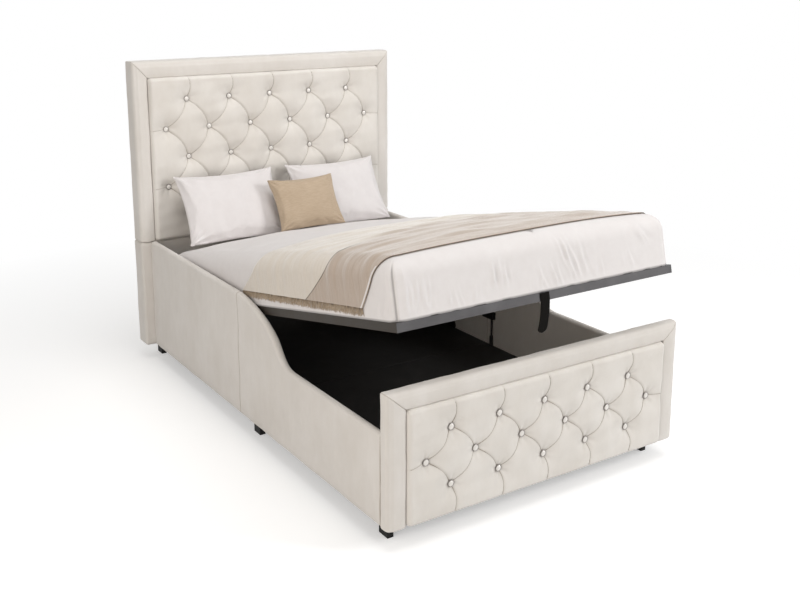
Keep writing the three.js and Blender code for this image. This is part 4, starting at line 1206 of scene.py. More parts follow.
@dataclass
class Rail:
    """One length of a padded side rail, whose top edge can fall in an S curve."""

    name: str
    node: str
    side: int
    start: float
    end: float
    top_from: float
    top_to: float
    finishes: Finishes
    inner: float = 0.610
    outer: float = 0.638
    low: float = 0.071
    curve: float = 0.0
    head_corner: float = 0.0
    end_roll: float = 0.0045
    body: str = "bed_base"

    def top(self, y: Array) -> Array:
        """Height of the top edge along the rail.

        Formula: two cubic curves joined end to end, from the high end at the joint down to
        the low end, and a quarter circle at the headboard.

        Args:
            y: Places along the rail.

        Returns:
            The heights.
        """
        knots = np.array([
            (0, 0), (0.3, 0.05), (0.61, 0.32), (0.71, 0.59), (0.8, 0.83), (0.84, 1), (1, 1),
        ])
        t = np.linspace(0, 1, 40)[:, None]
        rest = 1 - t
        curves = []
        for first in (0, 3):
            a, b, c, d = knots[first:first + 4]
            curves.append(a * rest**3 + 3 * b * t * rest**2 + 3 * c * t**2 * rest + d * t**3)
        path = np.concatenate(curves)
        height = np.full_like(y, self.top_from)
        if self.curve:
            share = (self.end - y) / self.curve
            fall = np.interp(share, path[:, 0], path[:, 1])
            height = self.top_from - (self.top_from - self.top_to) * fall
        if self.head_corner:
            short = np.clip(self.head_corner - (self.end - y), 0, self.head_corner)
            height = height - (self.head_corner - np.sqrt(self.head_corner**2 - short**2))
        return height

    def build(self) -> Piece:
        """Carries a tall rounded section along the rail.

        Formula: at each place the section is a rounded strip from the low edge to the top
        edge, drawn in at both ends by a quarter circle, with a soft roll on top.

        Returns:
            The rail.
        """
        near = np.array([0.0, 0.0005, 0.0014, 0.003, 0.006, 0.011])
        middle = spaced(self.start + 0.017, self.end - 0.017, 0.007)
        y = np.concatenate([self.start + near, middle, self.end - near[::-1]])
        from_end = np.minimum(y - self.start, self.end - y)
        rolled = np.clip(1 - from_end / self.end_roll, 0, 1)
        drawn = (self.end_roll * (1 - np.sqrt(1 - rolled**2)))[:, None]
        half = (self.outer - self.inner) / 2
        roll, foot = half * 0.92, 0.005
        arc = np.radians(np.linspace(0, 180, 17))[1:-1]
        count, rows = len(spaced(self.low + foot, 0.36, 0.018)), len(y)
        top = self.top(y)[:, None]
        climb = np.linspace(0, 1, count)[None]
        walls_z = (self.low + foot) + (top - roll - self.low - foot) * climb
        side, corner = np.full((rows, count), half), np.full((rows, 1), half - foot)
        low = np.full((rows, 1), self.low)
        over = np.repeat(half * np.cos(arc)[None], rows, 0)
        x = np.concatenate([corner, side, over, -side, -corner], axis=1)
        z = [low, walls_z, top - roll + roll * np.sin(arc)[None], walls_z[:, ::-1], low]
        z = np.concatenate(z, axis=1)
        x = np.sign(x) * np.maximum(np.abs(x) - drawn, 0)
        z = np.where(z > top - roll, z - drawn, z) + np.where(z <= self.low + foot, drawn, 0)
        points = np.stack([x, np.repeat(y[:, None], x.shape[1], 1), z], -1)
        swell = 0.0008 * unevenness(points, 0.16, 11) + 0.0004 * unevenness(points, 0.05, 12)
        swell = np.where(x * self.side > 0, swell, 0.25 * swell)
        points[..., 0] += np.sign(x) * swell * np.clip(np.abs(x) / half, 0, 1)
        points[..., 0] += self.side * (self.inner + half)
        # Painted shade: a dark line at each end of the rail, where it meets the next piece.
        seam = 0.75 * np.exp(-((from_end / 0.0024) ** 2))
        surface = Surface()
        surface.tube(points, value=np.repeat(seam[:, None], x.shape[1], 1))
        made = surface.build(self.name, [self.finishes.velvet], 55.0)
        return settle(made, self.body, (self.node,))


# ---- bedding


@dataclass
class Mattress:
    """The mattress in its fitted cover, with a crown, rolled edges and upright folds."""

    finishes: Finishes
    half: float = 0.600
    length: float = 1.900
    base: float = 0.0386
    edge_top: float = 0.2216
    crown: float = 0.044
    corner: float = 0.045
    top_roll: float = 0.058
    skirt: float = 0.0304

    def crown_at(self, x: Array, along: Array) -> Array:
        """How far the top rises over its edge.

        Formula: the crown times one minus a power of the share across, times one minus a
        higher power of the share along, so it is flatter along the bed than across it.

        Args:
            x: Places across.
            along: Places along the platform.

        Returns:
            The heights over the edge.
        """
        reach_x = np.clip(np.abs(x) / self.half, 0, 1)
        reach_y = np.clip(np.abs(along - self.length / 2) / (self.length / 2), 0, 1)
        return self.crown * (1 - reach_x**2.8) * (1 - reach_y**7)

    def top_at(self, x: Array, along: Array) -> Array:
        """The top's height at a place on the platform."""
        return self.edge_top + self.crown_at(x, along)

    def clusters(self, starts: list[float]) -> list[tuple[float, ...]]:
        """Where the cover gathers into folds.

        Args:
            starts: Distances round the mattress to the start of the right, head, left and
                foot sides.

        Returns:
            Each cluster's place round the mattress, lowest and highest height share, count,
            spread, depth and lean.
        """
        across, long = 2 * (self.half - self.corner), self.length - 2 * self.corner
        foot = [
            (0.015, 0.0, 0.95, 3, 0.016, 0.0036, 0.05), (0.075, 0.05, 0.9, 3, 0.020, 0.0030, -0.1),
            (0.18, 0.0, 0.5, 4, 0.030, 0.0030, -0.2), (0.25, 0.0, 0.45, 4, 0.030, 0.0030, 0.1),
            (0.33, 0.25, 0.85, 5, 0.030, 0.0042, -0.1), (0.45, 0.0, 0.4, 3, 0.040, 0.0024, 0.1),
            (0.54, 0.0, 0.65, 4, 0.035, 0.0036, -0.25), (0.645, 0.1, 1.0, 7, 0.045, 0.0046, -0.25),
            (0.72, 0.0, 0.5, 3, 0.030, 0.0030, -0.1), (0.86, 0.1, 0.65, 3, 0.030, 0.0020, -0.3),
            (0.95, 0.5, 1.15, 6, 0.045, 0.0034, -0.9),
        ]
        found = [(starts[3] + share * across, *rest) for share, *rest in foot]
        rng = np.random.default_rng(22)
        for start, length in ((starts[0], long), (starts[1], across), (starts[2], long)):
            for share in (np.arange(8) + rng.uniform(0.1, 0.9, 8)) / 8:
                high = rng.uniform(0.4, 1.0)
                lean = rng.uniform(-0.25, 0.25)
                found.append((start + share * length, 0.0, high, 4, 0.035, 0.0018, lean))
        return found

    def folds(self, round_it: Array, up: Array, starts: list[float]) -> Array:
        """How far the sides' cloth stands out in upright folds.

        Formula: each fold is a bell curve in the distance round the mattress less a weaker
        one beside it, fading in above its lowest height and out below its highest.

        Args:
            round_it: Distance round the mattress.
            up: Height over the base.
            starts: Distances round the mattress to the start of each side.

        Returns:
            The outward distances.
        """
        rng = np.random.default_rng(21)
        total = np.zeros(np.broadcast(round_it, up).shape)
        straight = 2 * (2 * self.half + self.length) - 8 * self.corner
        around = straight + FULL_TURN * self.corner
        wall = self.edge_top - self.base
        for centre, low, high, count, spread, deep, lean in self.clusters(starts):
            for _ in range(count):
                place, wide = centre + rng.uniform(-spread, spread), rng.uniform(0.0045, 0.0085)
                low_end, high_end = low * wall, high * wall * rng.uniform(0.75, 1.0)
                slant = lean + rng.uniform(-0.12, 0.12)
                wobble = 0.0025 * np.sin(up * 55 + place * 90)
                off = round_it - place - slant * (up - low_end) + wobble
                off = (off + around / 2) % around - around / 2
                fade = smooth_step(up, low_end - 0.02, low_end + 0.02)
                fade = fade * (1 - smooth_step(up, high_end - 0.06, high_end))
                valley = np.exp(-(((off - 1.9 * wide) / wide) ** 2))
                bell = np.exp(-((off / wide) ** 2)) - 0.65 * valley
                total += deep * rng.uniform(0.5, 1.0) * fade * bell
        return total

    def build(self) -> Piece:
        """Stacks rounded rectangles from the underside to the middle of the top.

        Formula: each ring is the outline drawn in by the section's inset. The section turns
        down over the slats' ends as a thin skirt, climbs the wall and rolls over to the top,
        whose rings shrink towards the middle.

        Returns:
            The mattress.
        """
        steps = (0.0075, 0.0105, 0.0058, 0.0034)
        table = rounded_rectangle(self.half, self.length / 2, self.corner, steps, 34)
        centre_u, centre_v, way_u, way_v, distance = table.T[:, None]
        turned = self.skirt + 0.0006
        foot = np.array([
            (0.060, self.base), (0.0016, self.base), (0.0014, self.skirt + 0.0025),
            (0.0009, turned), (0.0, self.skirt), (-0.0009, turned),
            (-0.0014, self.skirt + 0.0030), (-0.0012, 0.0390), (-0.0006, 0.0470), (0.0, 0.0550),
        ])
        rolls_from = self.edge_top - self.top_roll
        wall = spaced(foot[-1, 1], rolls_from, 0.0095)[1:]
        roll = np.radians(np.linspace(0, 90, 10))[1:]
        top_in = self.top_roll * (1 - np.cos(roll))
        top_up = rolls_from + self.top_roll * np.sin(roll)
        inset = np.concatenate([foot[:, 0], np.zeros(len(wall)), top_in])[:, None]
        height = np.concatenate([foot[:, 1], wall, top_up])[:, None]
        radius = np.maximum(self.corner - inset, self.corner / 4)
        lost = inset - self.corner + radius
        x = centre_u - np.sign(centre_u) * lost + way_u * radius
        y = centre_v - np.sign(centre_v) * lost + way_v * radius
        up = height - self.base
        out = self.folds(distance, up, self.side_starts(table)) * smooth_step(up, -0.004, 0.012)
        middles = np.array(self.corner_middles(table))[:, None]
        seam = np.abs(distance - middles).min(axis=0)[None]
        below_roll = 1 - smooth_step(height, self.edge_top - 0.035, self.edge_top - 0.008)
        on_wall = smooth_step(height, self.base - 0.006, self.base) * below_roll
        # The corner seam's groove is dented in, and also darkened below as painted shade.
        groove = np.exp(-((seam / 0.0012) ** 2)) * on_wall
        beside = np.exp(-(((seam - 0.007) / 0.005) ** 2)) * on_wall
        out = out - 0.0020 * groove + 0.0022 * beside
        gaps = np.clip(unevenness(table[:, 4:5], 0.10, 31, 9) - 0.2, 0, 1)[None]
        reach = np.where(way_v < -0.7, 0.0016, 0.0004)
        at_hem = 1 - smooth_step(height, self.skirt + 0.001, self.base + 0.004)
        scallop = reach * gaps * at_hem * (inset < 0.01)
        crown = self.crown_at(x, y + self.length / 2)
        z = height + scallop + np.where(height > rolls_from, crown, 0.0)
        x, y = x + way_u * out, y + way_v * out
        ring_x, ring_y = x[-1] - way_u[0] * out[-1], y[-1] - way_v[0] * out[-1]
        shares = [np.linspace(1, 0.85, 9)[1:], np.linspace(0.85, 0.02, 16)[1:]]
        shares = np.concatenate(shares)[:, None]
        top_x, top_y = ring_x * shares, ring_y * shares
        wavy = 0.0012 * unevenness(np.stack([top_x, top_y], -1), 0.22, 41)
        wavy *= smooth_step(1 - shares, 0.0, 0.08)
        top_z = self.top_at(top_x, top_y + self.length / 2) + wavy
        points = np.concatenate([np.stack([x, y, z], -1), np.stack([top_x, top_y, top_z], -1)])
        points[..., 1] += self.length / 2
        # Painted shadow along the skirt's lowest few millimetres, where the mattress meets the
        # tubes, and painted shade down each corner groove.
        hem = 0.8 * (1 - smooth_step(height, self.skirt + 0.0026, self.skirt + 0.0080))
        shade = np.concatenate([np.maximum(groove * 0.6, hem), np.zeros_like(top_x)])
        surface = Surface()
        surface.tube(on_platform(points), value=shade)
        made = surface.build("mattress_covered", [self.finishes.ticking], 60.0)
        return settle(made, "platform", ("mattress",))

    @staticmethod
    def side_starts(table: Array) -> list[float]:
        """Distances round to the start of each side.

        Args:
            table: The outline's rows.

        Returns:
            The distances of the right, head, left and foot sides.
        """
        right = table[np.argmax(table[:, 2] > 0.999), 4]
        head = table[np.argmax(table[:, 3] > 0.999), 4]
        left = table[np.argmax(table[:, 2] < -0.999), 4]
        foot = table[len(table) - 1 - np.argmax(table[::-1, 2] < -0.05), 4]
        return [float(right), float(head), float(left), float(foot)]

    def corner_middles(self, table: Array) -> list[float]:
        """Distances round the mattress to the middle of each corner's arc.

        Args:
            table: The outline's rows.

        Returns:
            The distances.
        """
        diagonal = np.abs(np.abs(table[:, 2]) - np.abs(table[:, 3]))
        return [float(table[index, 4]) for index in np.flatnonzero(diagonal < 0.12)]


@dataclass
class Throw:
    """A woven throw across the mattress, with a darker band, piping and fringed hems."""

    mattress: Mattress
    finishes: Finishes
    front: float = 0.056
    rear: float = 0.925
    hem: float = 0.068
    hem_rise: float = 0.020
    front_skew: float = 0.128
    rear_skew: float = 0.195
    band_skew: float = 0.235
    thick: float = 0.0036
    lift: float = 0.0016
    turn_reach: float = 0.205
    band_line: float = 0.205
    fine: int = 1201

    def section(self) -> tuple[Array, Array, Array, Array, Array]:
        """Even places along the throw's section, from the left hem to the right hem.

        Formula: a line up the side, a quarter circle over the edge and the crown across the
        top, walked at an even pace.

        Returns:
            x, height, outward x, outward height and the share that hangs.
        """
        bed = self.mattress
        side = bed.half + self.lift
        base = bed.edge_top - bed.top_roll
        angle = np.radians(np.linspace(0, 90, 24))
        reach = bed.top_roll + self.lift
        shares = np.linspace(1, 0, 80)[1:]
        centre = bed.half - bed.top_roll
        over_x, over_z = centre + reach * np.cos(angle), base + reach * np.sin(angle)
        rise, level = np.linspace(self.hem, base, 31)[:-1], np.full(79, bed.edge_top + self.lift)
        fine_x = np.concatenate([np.full(30, side), over_x, centre * shares])
        fine_z = np.concatenate([rise, over_z, level])
        fine_x = np.concatenate([-fine_x, fine_x[::-1][1:]])
        fine_z = np.concatenate([fine_z, fine_z[::-1][1:]])
        walked = np.concatenate([[0], np.cumsum(np.hypot(np.diff(fine_x), np.diff(fine_z)))])
        even = np.linspace(0, walked[-1], self.fine)
        x, z = np.interp(even, walked, fine_x), np.interp(even, walked, fine_z)
        step_x, step_z = np.gradient(x), np.gradient(z)
        length = np.hypot(step_x, step_z)
        from_hem = np.minimum(even, walked[-1] - even)
        hang = np.clip(1 - from_hem / self.turn_reach, 0, 1) ** 1.4
        return x, z, -step_z / length, step_x / length, hang

    def section_at(self, a: Array) -> list[Array]:
        """The section's five values at shares across."""
        even = np.linspace(0, 1, self.fine)
        return [np.interp(a, even, values) for values in self.section()]

    def place(self, a: Array, b: Array, out: float) -> tuple[Array, Array]:
        """Points of the throw.

        Formula: the section gives x and height, and the way along runs from the front edge
        to the rear edge, both of which slant towards the head where the cloth hangs. Waves
        stand out from the hanging part and long creases cross the top.

        Args:
            a: Shares across, from the left hem to the right hem.
            b: Shares along, from the front edge to the rear edge.
            out: How far the points stand over the cloth's underside.

        Returns:
            The points on the platform, and the flat size coordinates.
        """
        x, z, out_x, out_z, hang = self.section_at(a)
        front = self.front + self.front_skew * hang + 0.004 * np.sin(x * 5.0)
        rear = self.rear + self.rear_skew * hang + 0.006 * np.sin(x * 4.0 + 1)
        along = front + (rear - front) * b
        wave = 0.0009 * hang * (1 + np.sin(along * 30.0 + 2.5 * np.sin(along * 9)))
        crease = np.stack([x * 0.38 + along * 0.35, along - x * 0.12], -1)
        fade = np.minimum(1, 10 * np.minimum(b, 1 - b)) * (1 - hang)
        ripple = np.maximum(0.0016 + 0.0024 * unevenness(crease, 0.11, 51), 0) * fade
        stand = out + wave + ripple
        bed = self.mattress
        base = bed.edge_top - bed.top_roll
        rise = (base - self.hem - self.hem_rise * b) / (base - self.hem)
        z = np.where(z < base, base - (base - z) * rise, z) + bed.crown_at(x, along)
        points = np.stack([x + out_x * stand, along, z + out_z * stand], -1)
        return points, np.stack([a * 1.5, along], -1)

    def band_edge(self, a: Array) -> Array:
        """The share along at which the darker band ends, wider towards the right side.

        Formula: the way along rises from 0.34 at the left edge towards 0.66 as one minus an
        exponential of x, and on the hanging side it keeps pace with the slanted edges.

        Args:
            a: Shares across.

        Returns:
            Shares along.
        """
        x, _, _, _, hang = self.section_at(a)
        widened = 1 - np.exp(-(np.clip(x, -0.6, 0.6) + 0.6) / 0.42)
        along = 0.340 + 0.32 * widened + self.band_skew * hang
        front, rear = self.front + self.front_skew * hang, self.rear + self.rear_skew * hang
        return (along - front) / (rear - front)

    def build(self) -> Piece:
        """Makes the cloth, with the band and the rest meeting at a row of points.

        Returns:
            The throw.
        """
        a = np.linspace(0, 1, 330)
        edge = self.band_edge(a)
        surface = Surface()
        for band, rows in ((True, 64), (False, 84)):
            t = np.linspace(0, 1, rows)[:, None]
            start = np.zeros_like(edge) if band else edge
            stop = edge if band else np.ones_like(edge)
            b = start[None] + (stop - start)[None] * t
            across = np.repeat(a[None], rows, 0)
            under, flat = self.place(across, b, 0.0)
            over, _ = self.place(across, b, self.thick)
            loop = np.concatenate([under, over[:, ::-1]], axis=1)
            uv = np.concatenate([flat, flat[:, ::-1]], axis=1)
            soft = 0.002 + 0.055 * smooth_step(0.5 - np.abs(a - 0.5), 0.12, 0.24)
            tone = smooth_step((edge[None] - b) / soft[None], -1.0, 1.0)
            tone = np.concatenate([tone, tone[:, ::-1]], axis=1)
            surface.grid(on_platform(loop), wrap_columns=True, uv=uv, value=tone)
            last = slice(0, 1) if band else slice(-1, None)
            self.close(surface, on_platform(loop[last]), uv[last], tone[last])
        made = surface.build("bed_throw_cloth", [self.finishes.throw], 70.0)
        weld(made)
        self.build_fringe()
        self.build_piping()
        return settle(made, "platform", ("bed_throw",))

    @staticmethod
    def close(surface: Surface, loop: Array, uv: Array, tone: Array) -> None:
        """Joins the under and over halves of an end loop, so the edge is closed.

        Args:
            surface: Where the strip goes.
            loop: The loop's points.
            uv: Their flat coordinates.
            tone: Their shades.
        """
        half = loop.shape[1] // 2
        pairs = [np.stack([row[0, :half], row[0, half:][::-1]]) for row in (loop, uv, tone)]
        surface.grid(pairs[0], uv=pairs[1], value=pairs[2])

    def build_fringe(self) -> Piece:
        """Twisted yarn ends under both hems.

        Formula: each yarn is a thin four-sided strip that hangs from the hem and sways by a
        sine of its own phase.

        Returns:
            The fringe.
        """
        rng = np.random.default_rng(61)
        surface = Surface()
        for a, deep in ((0.0, 0.10), (0.0, 0.55), (1.0, 0.10), (1.0, 0.55)):
            count = 210
            b = (np.arange(count) + rng.uniform(0.2, 0.8, count)) / count
            root, _ = self.place(np.full(count, a), b, self.thick * deep)
            long, phase = rng.uniform(0.022, 0.032, count), rng.uniform(0, 6.28, count)
            down = np.linspace(0, 1, 6)
            centre = np.repeat(root[:, None], 6, 1)
            centre[..., 2] += 0.002 - long[:, None] * down
            centre[..., 1] += 0.0038 * np.sin(phase[:, None] + 2.6 * down) * down
            outward = -1 if a == 0 else 1
            centre[..., 0] += 0.0011 * np.sin(phase[:, None] * 1.7 + 3 * down) * down * outward
            thick = 0.00155 * (1 - 0.40 * down)
            # Each yarn end gets a random tone, and painted shade darkens its top under the hem.
            dark = rng.uniform(0.0, 1.0, count)[:, None] ** 1.3
            tones = np.clip((0.9 - 2.6 * down) * dark + 0.35 * dark, 0, 1)
            turn = np.arange(4) * math.pi / 2 + 0.4
            square = np.stack([np.cos(turn), np.sin(turn), np.zeros(4)], -1)
            square = thick[:, None, None] * square[None]
            for line, tone in zip(centre, tones):
                shade = np.repeat(tone[:, None], 4, 1)
                surface.tube(on_platform(line[:, None] + square), value=shade)
        made = surface.build("bed_throw_fringe", [self.finishes.fringe], 60.0)
        return settle(made, "platform")

    def build_piping(self) -> Piece:
        """Thin dark cords along the front edge and where the band ends, and pale strips of painted
        highlight on the front edge of each hanging part.

        Formula: a small circle carried along the edge's line.

        Returns:
            The piping.
        """
        surface = Surface()
        turn = round_angles(8)
        over = self.thick + 0.0002
        runs = [
            (np.linspace(0, 1, 420), True, self.thick * 0.55, 0.0013),
            (np.linspace(0, self.band_line, 120), False, over, 0.0011),
            (np.linspace(1 - self.band_line, 1, 120), False, over, 0.0011),
        ]
        cosine, sine = np.cos(turn)[:, None], np.sin(turn)[:, None]
        for a, edge, out, thick in runs:
            line, _ = self.place(a, np.zeros_like(a) if edge else self.band_edge(a), out)
            from_start, from_end = a - a[0], a[-1] - a
            if edge:
                inner = np.minimum(from_start, from_end)
            else:
                inner = from_end if a[0] == 0 else from_start
            radius = (thick * np.clip(0.2 + inner / 0.07, 0, 1))[:, None, None]
            _, _, out_x, out_z, _ = self.section_at(a)
            normal = np.stack([out_x, np.zeros_like(a), out_z], -1)
            beside = np.cross(headings(line), normal)
            beside /= np.linalg.norm(beside, axis=1, keepdims=True)
            circle = cosine * normal[:, None] + sine * beside[:, None]
            surface.tube(on_platform(line[:, None] + radius * circle))
        # Pale strips on the front edge of each hanging part: a painted highlight of the rolled
        # edge.
        for ends in ((0.0, 0.092), (0.908, 1.0)):
            across = np.repeat(np.linspace(*ends, 40)[None], 3, 0)
            b = np.repeat(np.array([0.0035, 0.008, 0.0125])[:, None], 40, 1)
            under, _ = self.place(across, b, self.thick - 0.0004)
            strip, _ = self.place(across, b, self.thick + 0.0008)
            loop = np.concatenate([strip, under[::-1]])
            surface.tube(on_platform(loop.transpose(1, 0, 2)), slot=1)
        materials = [self.finishes.piping, self.finishes.ticking]
        made = surface.build("bed_throw_piping", materials, 60.0)
        return settle(made, "platform")


class Stuffing(Enum):
    """How a pillow or cushion is blown up as cloth.

    Each is the air pressure, the furthest that a point may move and the size of the faces.
    """

    BED_PILLOW = (3.0, 0.008, 0.0060)
    SCATTER = (3.0, 0.007, 0.0050)


@dataclass
class Pillow:
    """A filled pillow that leans on its long edge, blown up as cloth."""

    name: str
    node: str
    width: float
    height: float
    thickness: float
    centre: float
    from_head: float
    stuffing: Stuffing
    mattress: Mattress
    material: Material
    slot: str
    lean: float = math.radians(20.0)
    level: float = 0.85
    fill: float = 0.7
    seed: int = 1

    def shell(self) -> Array:
        """The pillow's two faces as one closed grid, before it is blown up.

        Formula: half the thickness is the product of one minus each share to a power, to
        the power of a half. The sides draw in between the corners by a share of one minus
        the square of the other coordinate, which leaves pointed ears.

        Returns:
            Rows by columns by 3, with the last column joining the first.
        """
        turn = round_angles(160)
        rows = np.linspace(-1, 1, 90)
        v = np.sign(rows) * (1 - (1 - np.abs(rows)) ** 1.5)
        u = np.cos(turn)
        side = np.where(np.sin(turn) >= 0, 1.0, -1.0)
        v, u = v[:, None], u[None]
        bulge = np.clip(1 - np.abs(u) ** 2.4, 0, 1) ** 0.55
        bulge = bulge * np.clip(1 - np.abs(v) ** 2.3, 0, 1) ** 0.55
        x = u * self.width / 2 * (1 - 0.07 * (1 - v**2) * np.abs(u))
        z = v * self.height / 2 * (1 - 0.10 * (1 - u**2) * np.abs(v))
        y = side * (bulge * self.thickness / 2 * 0.96 + 0.0016)
        return np.stack([x, y, np.broadcast_to(z, x.shape)], -1)

    def settled(self, points: Array) -> Array:
        """Gives the blown-up shell its width and height back, and a level lower edge.

        Formula: x and z are scaled to the pillow's extents, and the lower half is drawn down
        by the lower edge's own rise times one minus the square of the share across.

        Args:
            points: The shell's points.

        Returns:
            The points, standing upright.
        """
        points = points.copy()
        for axis, size in ((0, self.width), (2, self.height)):
            low, high = points[:, axis].min(), points[:, axis].max()
            points[:, axis] = ((points[:, axis] - low) / (high - low) - 0.5) * size
        u, v = points[:, 0] / (self.width / 2), points[:, 2] / (self.height / 2)
        rise = points[np.abs(u) < 0.1, 2].min() + self.height / 2
        level = self.level * (1 - np.clip(np.abs(u), 0, 1) ** 2.6)
        points[:, 2] -= rise * level * np.clip(-v, 0, 1) ** 1.5
        return points

    def seated(self, points: Array) -> Array:
        """Leans the pillow back and lowers it onto the mattress.

        Formula: a turn about X by the lean, then a drop by the least height over the top.

        Args:
            points: The upright pillow's points.

        Returns:
            The points in the part's frame.
        """
        x, y, z = points[..., 0], points[..., 1], points[..., 2] + self.height / 2
        back = y * math.cos(self.lean) + z * math.sin(self.lean)
        along = back + self.mattress.length - self.from_head
        up = -y * math.sin(self.lean) + z * math.cos(self.lean)
        x = x + self.centre
        up = up - float((up - self.mattress.top_at(x, along)).min()) + 0.0005
        return on_platform(np.stack([x, along, up], -1))

    def build(self) -> Piece:
        """Makes the shell, blows it up, adds its soft folds and seats it.

        Returns:
            The pillow.
        """
        surface = Surface()
        surface.tube(self.shell())
        made = surface.build(self.name, [self.material], 60.0)
        pressure, cap, voxel = self.stuffing.value
        blow_up(made, pressure, cap, voxel)
        points = self.settled(points_of(made))
        half = np.array([self.width / 2, self.height / 2])
        u, v = points[:, 0] / half[0], points[:, 2] / half[1]
        corner = np.clip(np.hypot(np.abs(u) - 1, np.abs(v) - 1) / 0.9, 0, 1)
        turn = np.arctan2(1 - np.abs(v), 1 - np.abs(u) + 1e-6)
        phase = 2 * self.seed + 3 * np.sign(u) + 5 * np.sign(v)
        near_corner = np.exp(-((corner - 0.30) / 0.2) ** 2)
        folds = 0.0026 * np.cos(turn * 13 + phase) * near_corner
        folds += 0.0020 * unevenness(points * np.array([1.0, 1.0, 0.55]), 0.075, 70 + self.seed)
        flat = np.clip(np.abs(points[:, 1]) / (self.thickness * 0.16), 0, 1)
        points[:, 1] += np.sign(points[:, 1]) * folds * flat
        made.data.vertices.foreach_set("co", self.seated(points).astype(np.float32).ravel())
        made.data.update()
        return settle(made, "platform", (self.node,))


def points_of(piece: Piece) -> Array:
    """The piece's points.

    Args:
        piece: A mesh object.

    Returns:
        An array of (x, y, z).
    """
    points = np.zeros(len(piece.data.vertices) * 3, np.float32)
    piece.data.vertices.foreach_get("co", points)
    return points.reshape(-1, 3).astype(float)


def blow_up(piece: Piece, pressure: float, cap: float, voxel: float) -> None:
    """Runs the piece as cloth under pressure and keeps the result in its mesh.

    Formula: each point moves as the simulation says, held under the cap by a hyperbolic
    tangent.

    Args:
        piece: A closed shell at the origin.
        pressure: The air pressure inside.
        cap: The furthest that a point may move.
        voxel: The size of the remeshed faces.
    """
    remesh = piece.modifiers.new("remesh", "REMESH")
    remesh.mode, remesh.voxel_size, remesh.use_smooth_shade = "VOXEL", voxel, True
    bake(piece)
    before = points_of(piece)
    cloth = piece.modifiers.new("cloth", "CLOTH")
    cloth.settings.quality = 5
    cloth.settings.mass = 0.25
    cloth.settings.tension_stiffness = 18
    cloth.settings.compression_stiffness = 18
    cloth.settings.bending_stiffness = 0.4
    cloth.settings.use_pressure = True
    cloth.settings.uniform_pressure_force = pressure
    cloth.settings.effector_weights.gravity = 0
    cloth.collision_settings.use_collision = False
    for number in range(1, FRAMES + 1):
        bpy.context.scene.frame_set(number)
    bake(piece)
    move = points_of(piece) - before
    far = np.linalg.norm(move, axis=1, keepdims=True)
    far = np.maximum(far, 1e-9)
    kept = before + move * cap * np.tanh(far / cap) / far
    piece.data.vertices.foreach_set("co", kept.astype(np.float32).ravel())
    finer = piece.modifiers.new("finer", "SUBSURF")
    finer.levels = finer.render_levels = 1
    bpy.context.scene.frame_set(1)
    bake(piece)


def bake(piece: Piece) -> None:
    """Replaces the piece's mesh by what its modifiers make, and removes them.

    Args:
        piece: A mesh object with modifiers.
    """
    graph = bpy.context.evaluated_depsgraph_get()
    graph.update()
    mesh = bpy.data.meshes.new_from_object(piece.evaluated_get(graph), depsgraph=graph)
    old = piece.data
    piece.modifiers.clear()
    mesh.materials.clear()
    for material in old.materials:
        mesh.materials.append(material)
    piece.data = mesh
    name = old.name
    bpy.data.meshes.remove(old)
    mesh.name = name
    mesh.shade_smooth()


@dataclass
class LiftStrap:
    """The webbing loop that pulls the platform down, on the front tube."""

    finishes: Finishes
    width: float = 0.040
    thick: float = 0.0035
    drop: float = 0.112
    sag: float = 0.005
    aside: float = -0.010
    slant: float = 0.10

    def build(self) -> Piece:
        """Carries a flat rounded section down the strap.

        Formula: the line runs down the tube's face and then straight down with a small
        bow, a half sine of the sag, and the section narrows as a half circle at the end.

        Returns:
            The strap.
        """
        face = -0.0003 - self.thick / 2
        share = spaced(0, 1, 0.03)
        upper = np.column_stack([np.full(12, face), np.linspace(0.028, 0.002, 12)])[:-1]
        lower_y = face - self.sag * np.sin(math.pi * share) + math.sin(TILT) * self.drop * share
        lower_z = 0.002 - math.cos(TILT) * self.drop * share
        line = np.concatenate([upper, np.column_stack([lower_y, lower_z])])
        way = headings(line)
        normal = np.column_stack([way[:, 1], -way[:, 0]])
        walked = np.concatenate([[0], np.cumsum(np.hypot(*np.diff(line, axis=0).T))])
        left = walked[-1] - walked
        half = self.width / 2
        narrow = half * np.sqrt(np.clip(1 - np.clip(1 - left / (half * 0.75), 0, 1) ** 2, 0.02, 1))
        turn = round_angles(32)
        flat_x = np.sign(np.cos(turn)) * np.abs(np.cos(turn)) ** 0.35
        flat_n = np.sign(np.sin(turn)) * np.abs(np.sin(turn)) ** 0.6 * self.thick / 2
        middle = self.aside - self.slant * np.clip(walked - 0.026, 0, None)[:, None]
        x = middle + narrow[:, None] * flat_x[None]
        y = line[:, :1] + normal[:, :1] * flat_n[None]
        z = line[:, 1:] + normal[:, 1:] * flat_n[None]
        uv = np.stack([x, np.repeat(walked[:, None], len(turn), 1)], -1)
        surface = Surface()
        surface.tube(on_platform(np.stack([x, y, z], -1)), uv=uv)
        made = surface.build("lift_strap_webbing", [self.finishes.webbing], 50.0)
        return settle(made, "platform", ("lift_strap",))


# ---- sub-assemblies


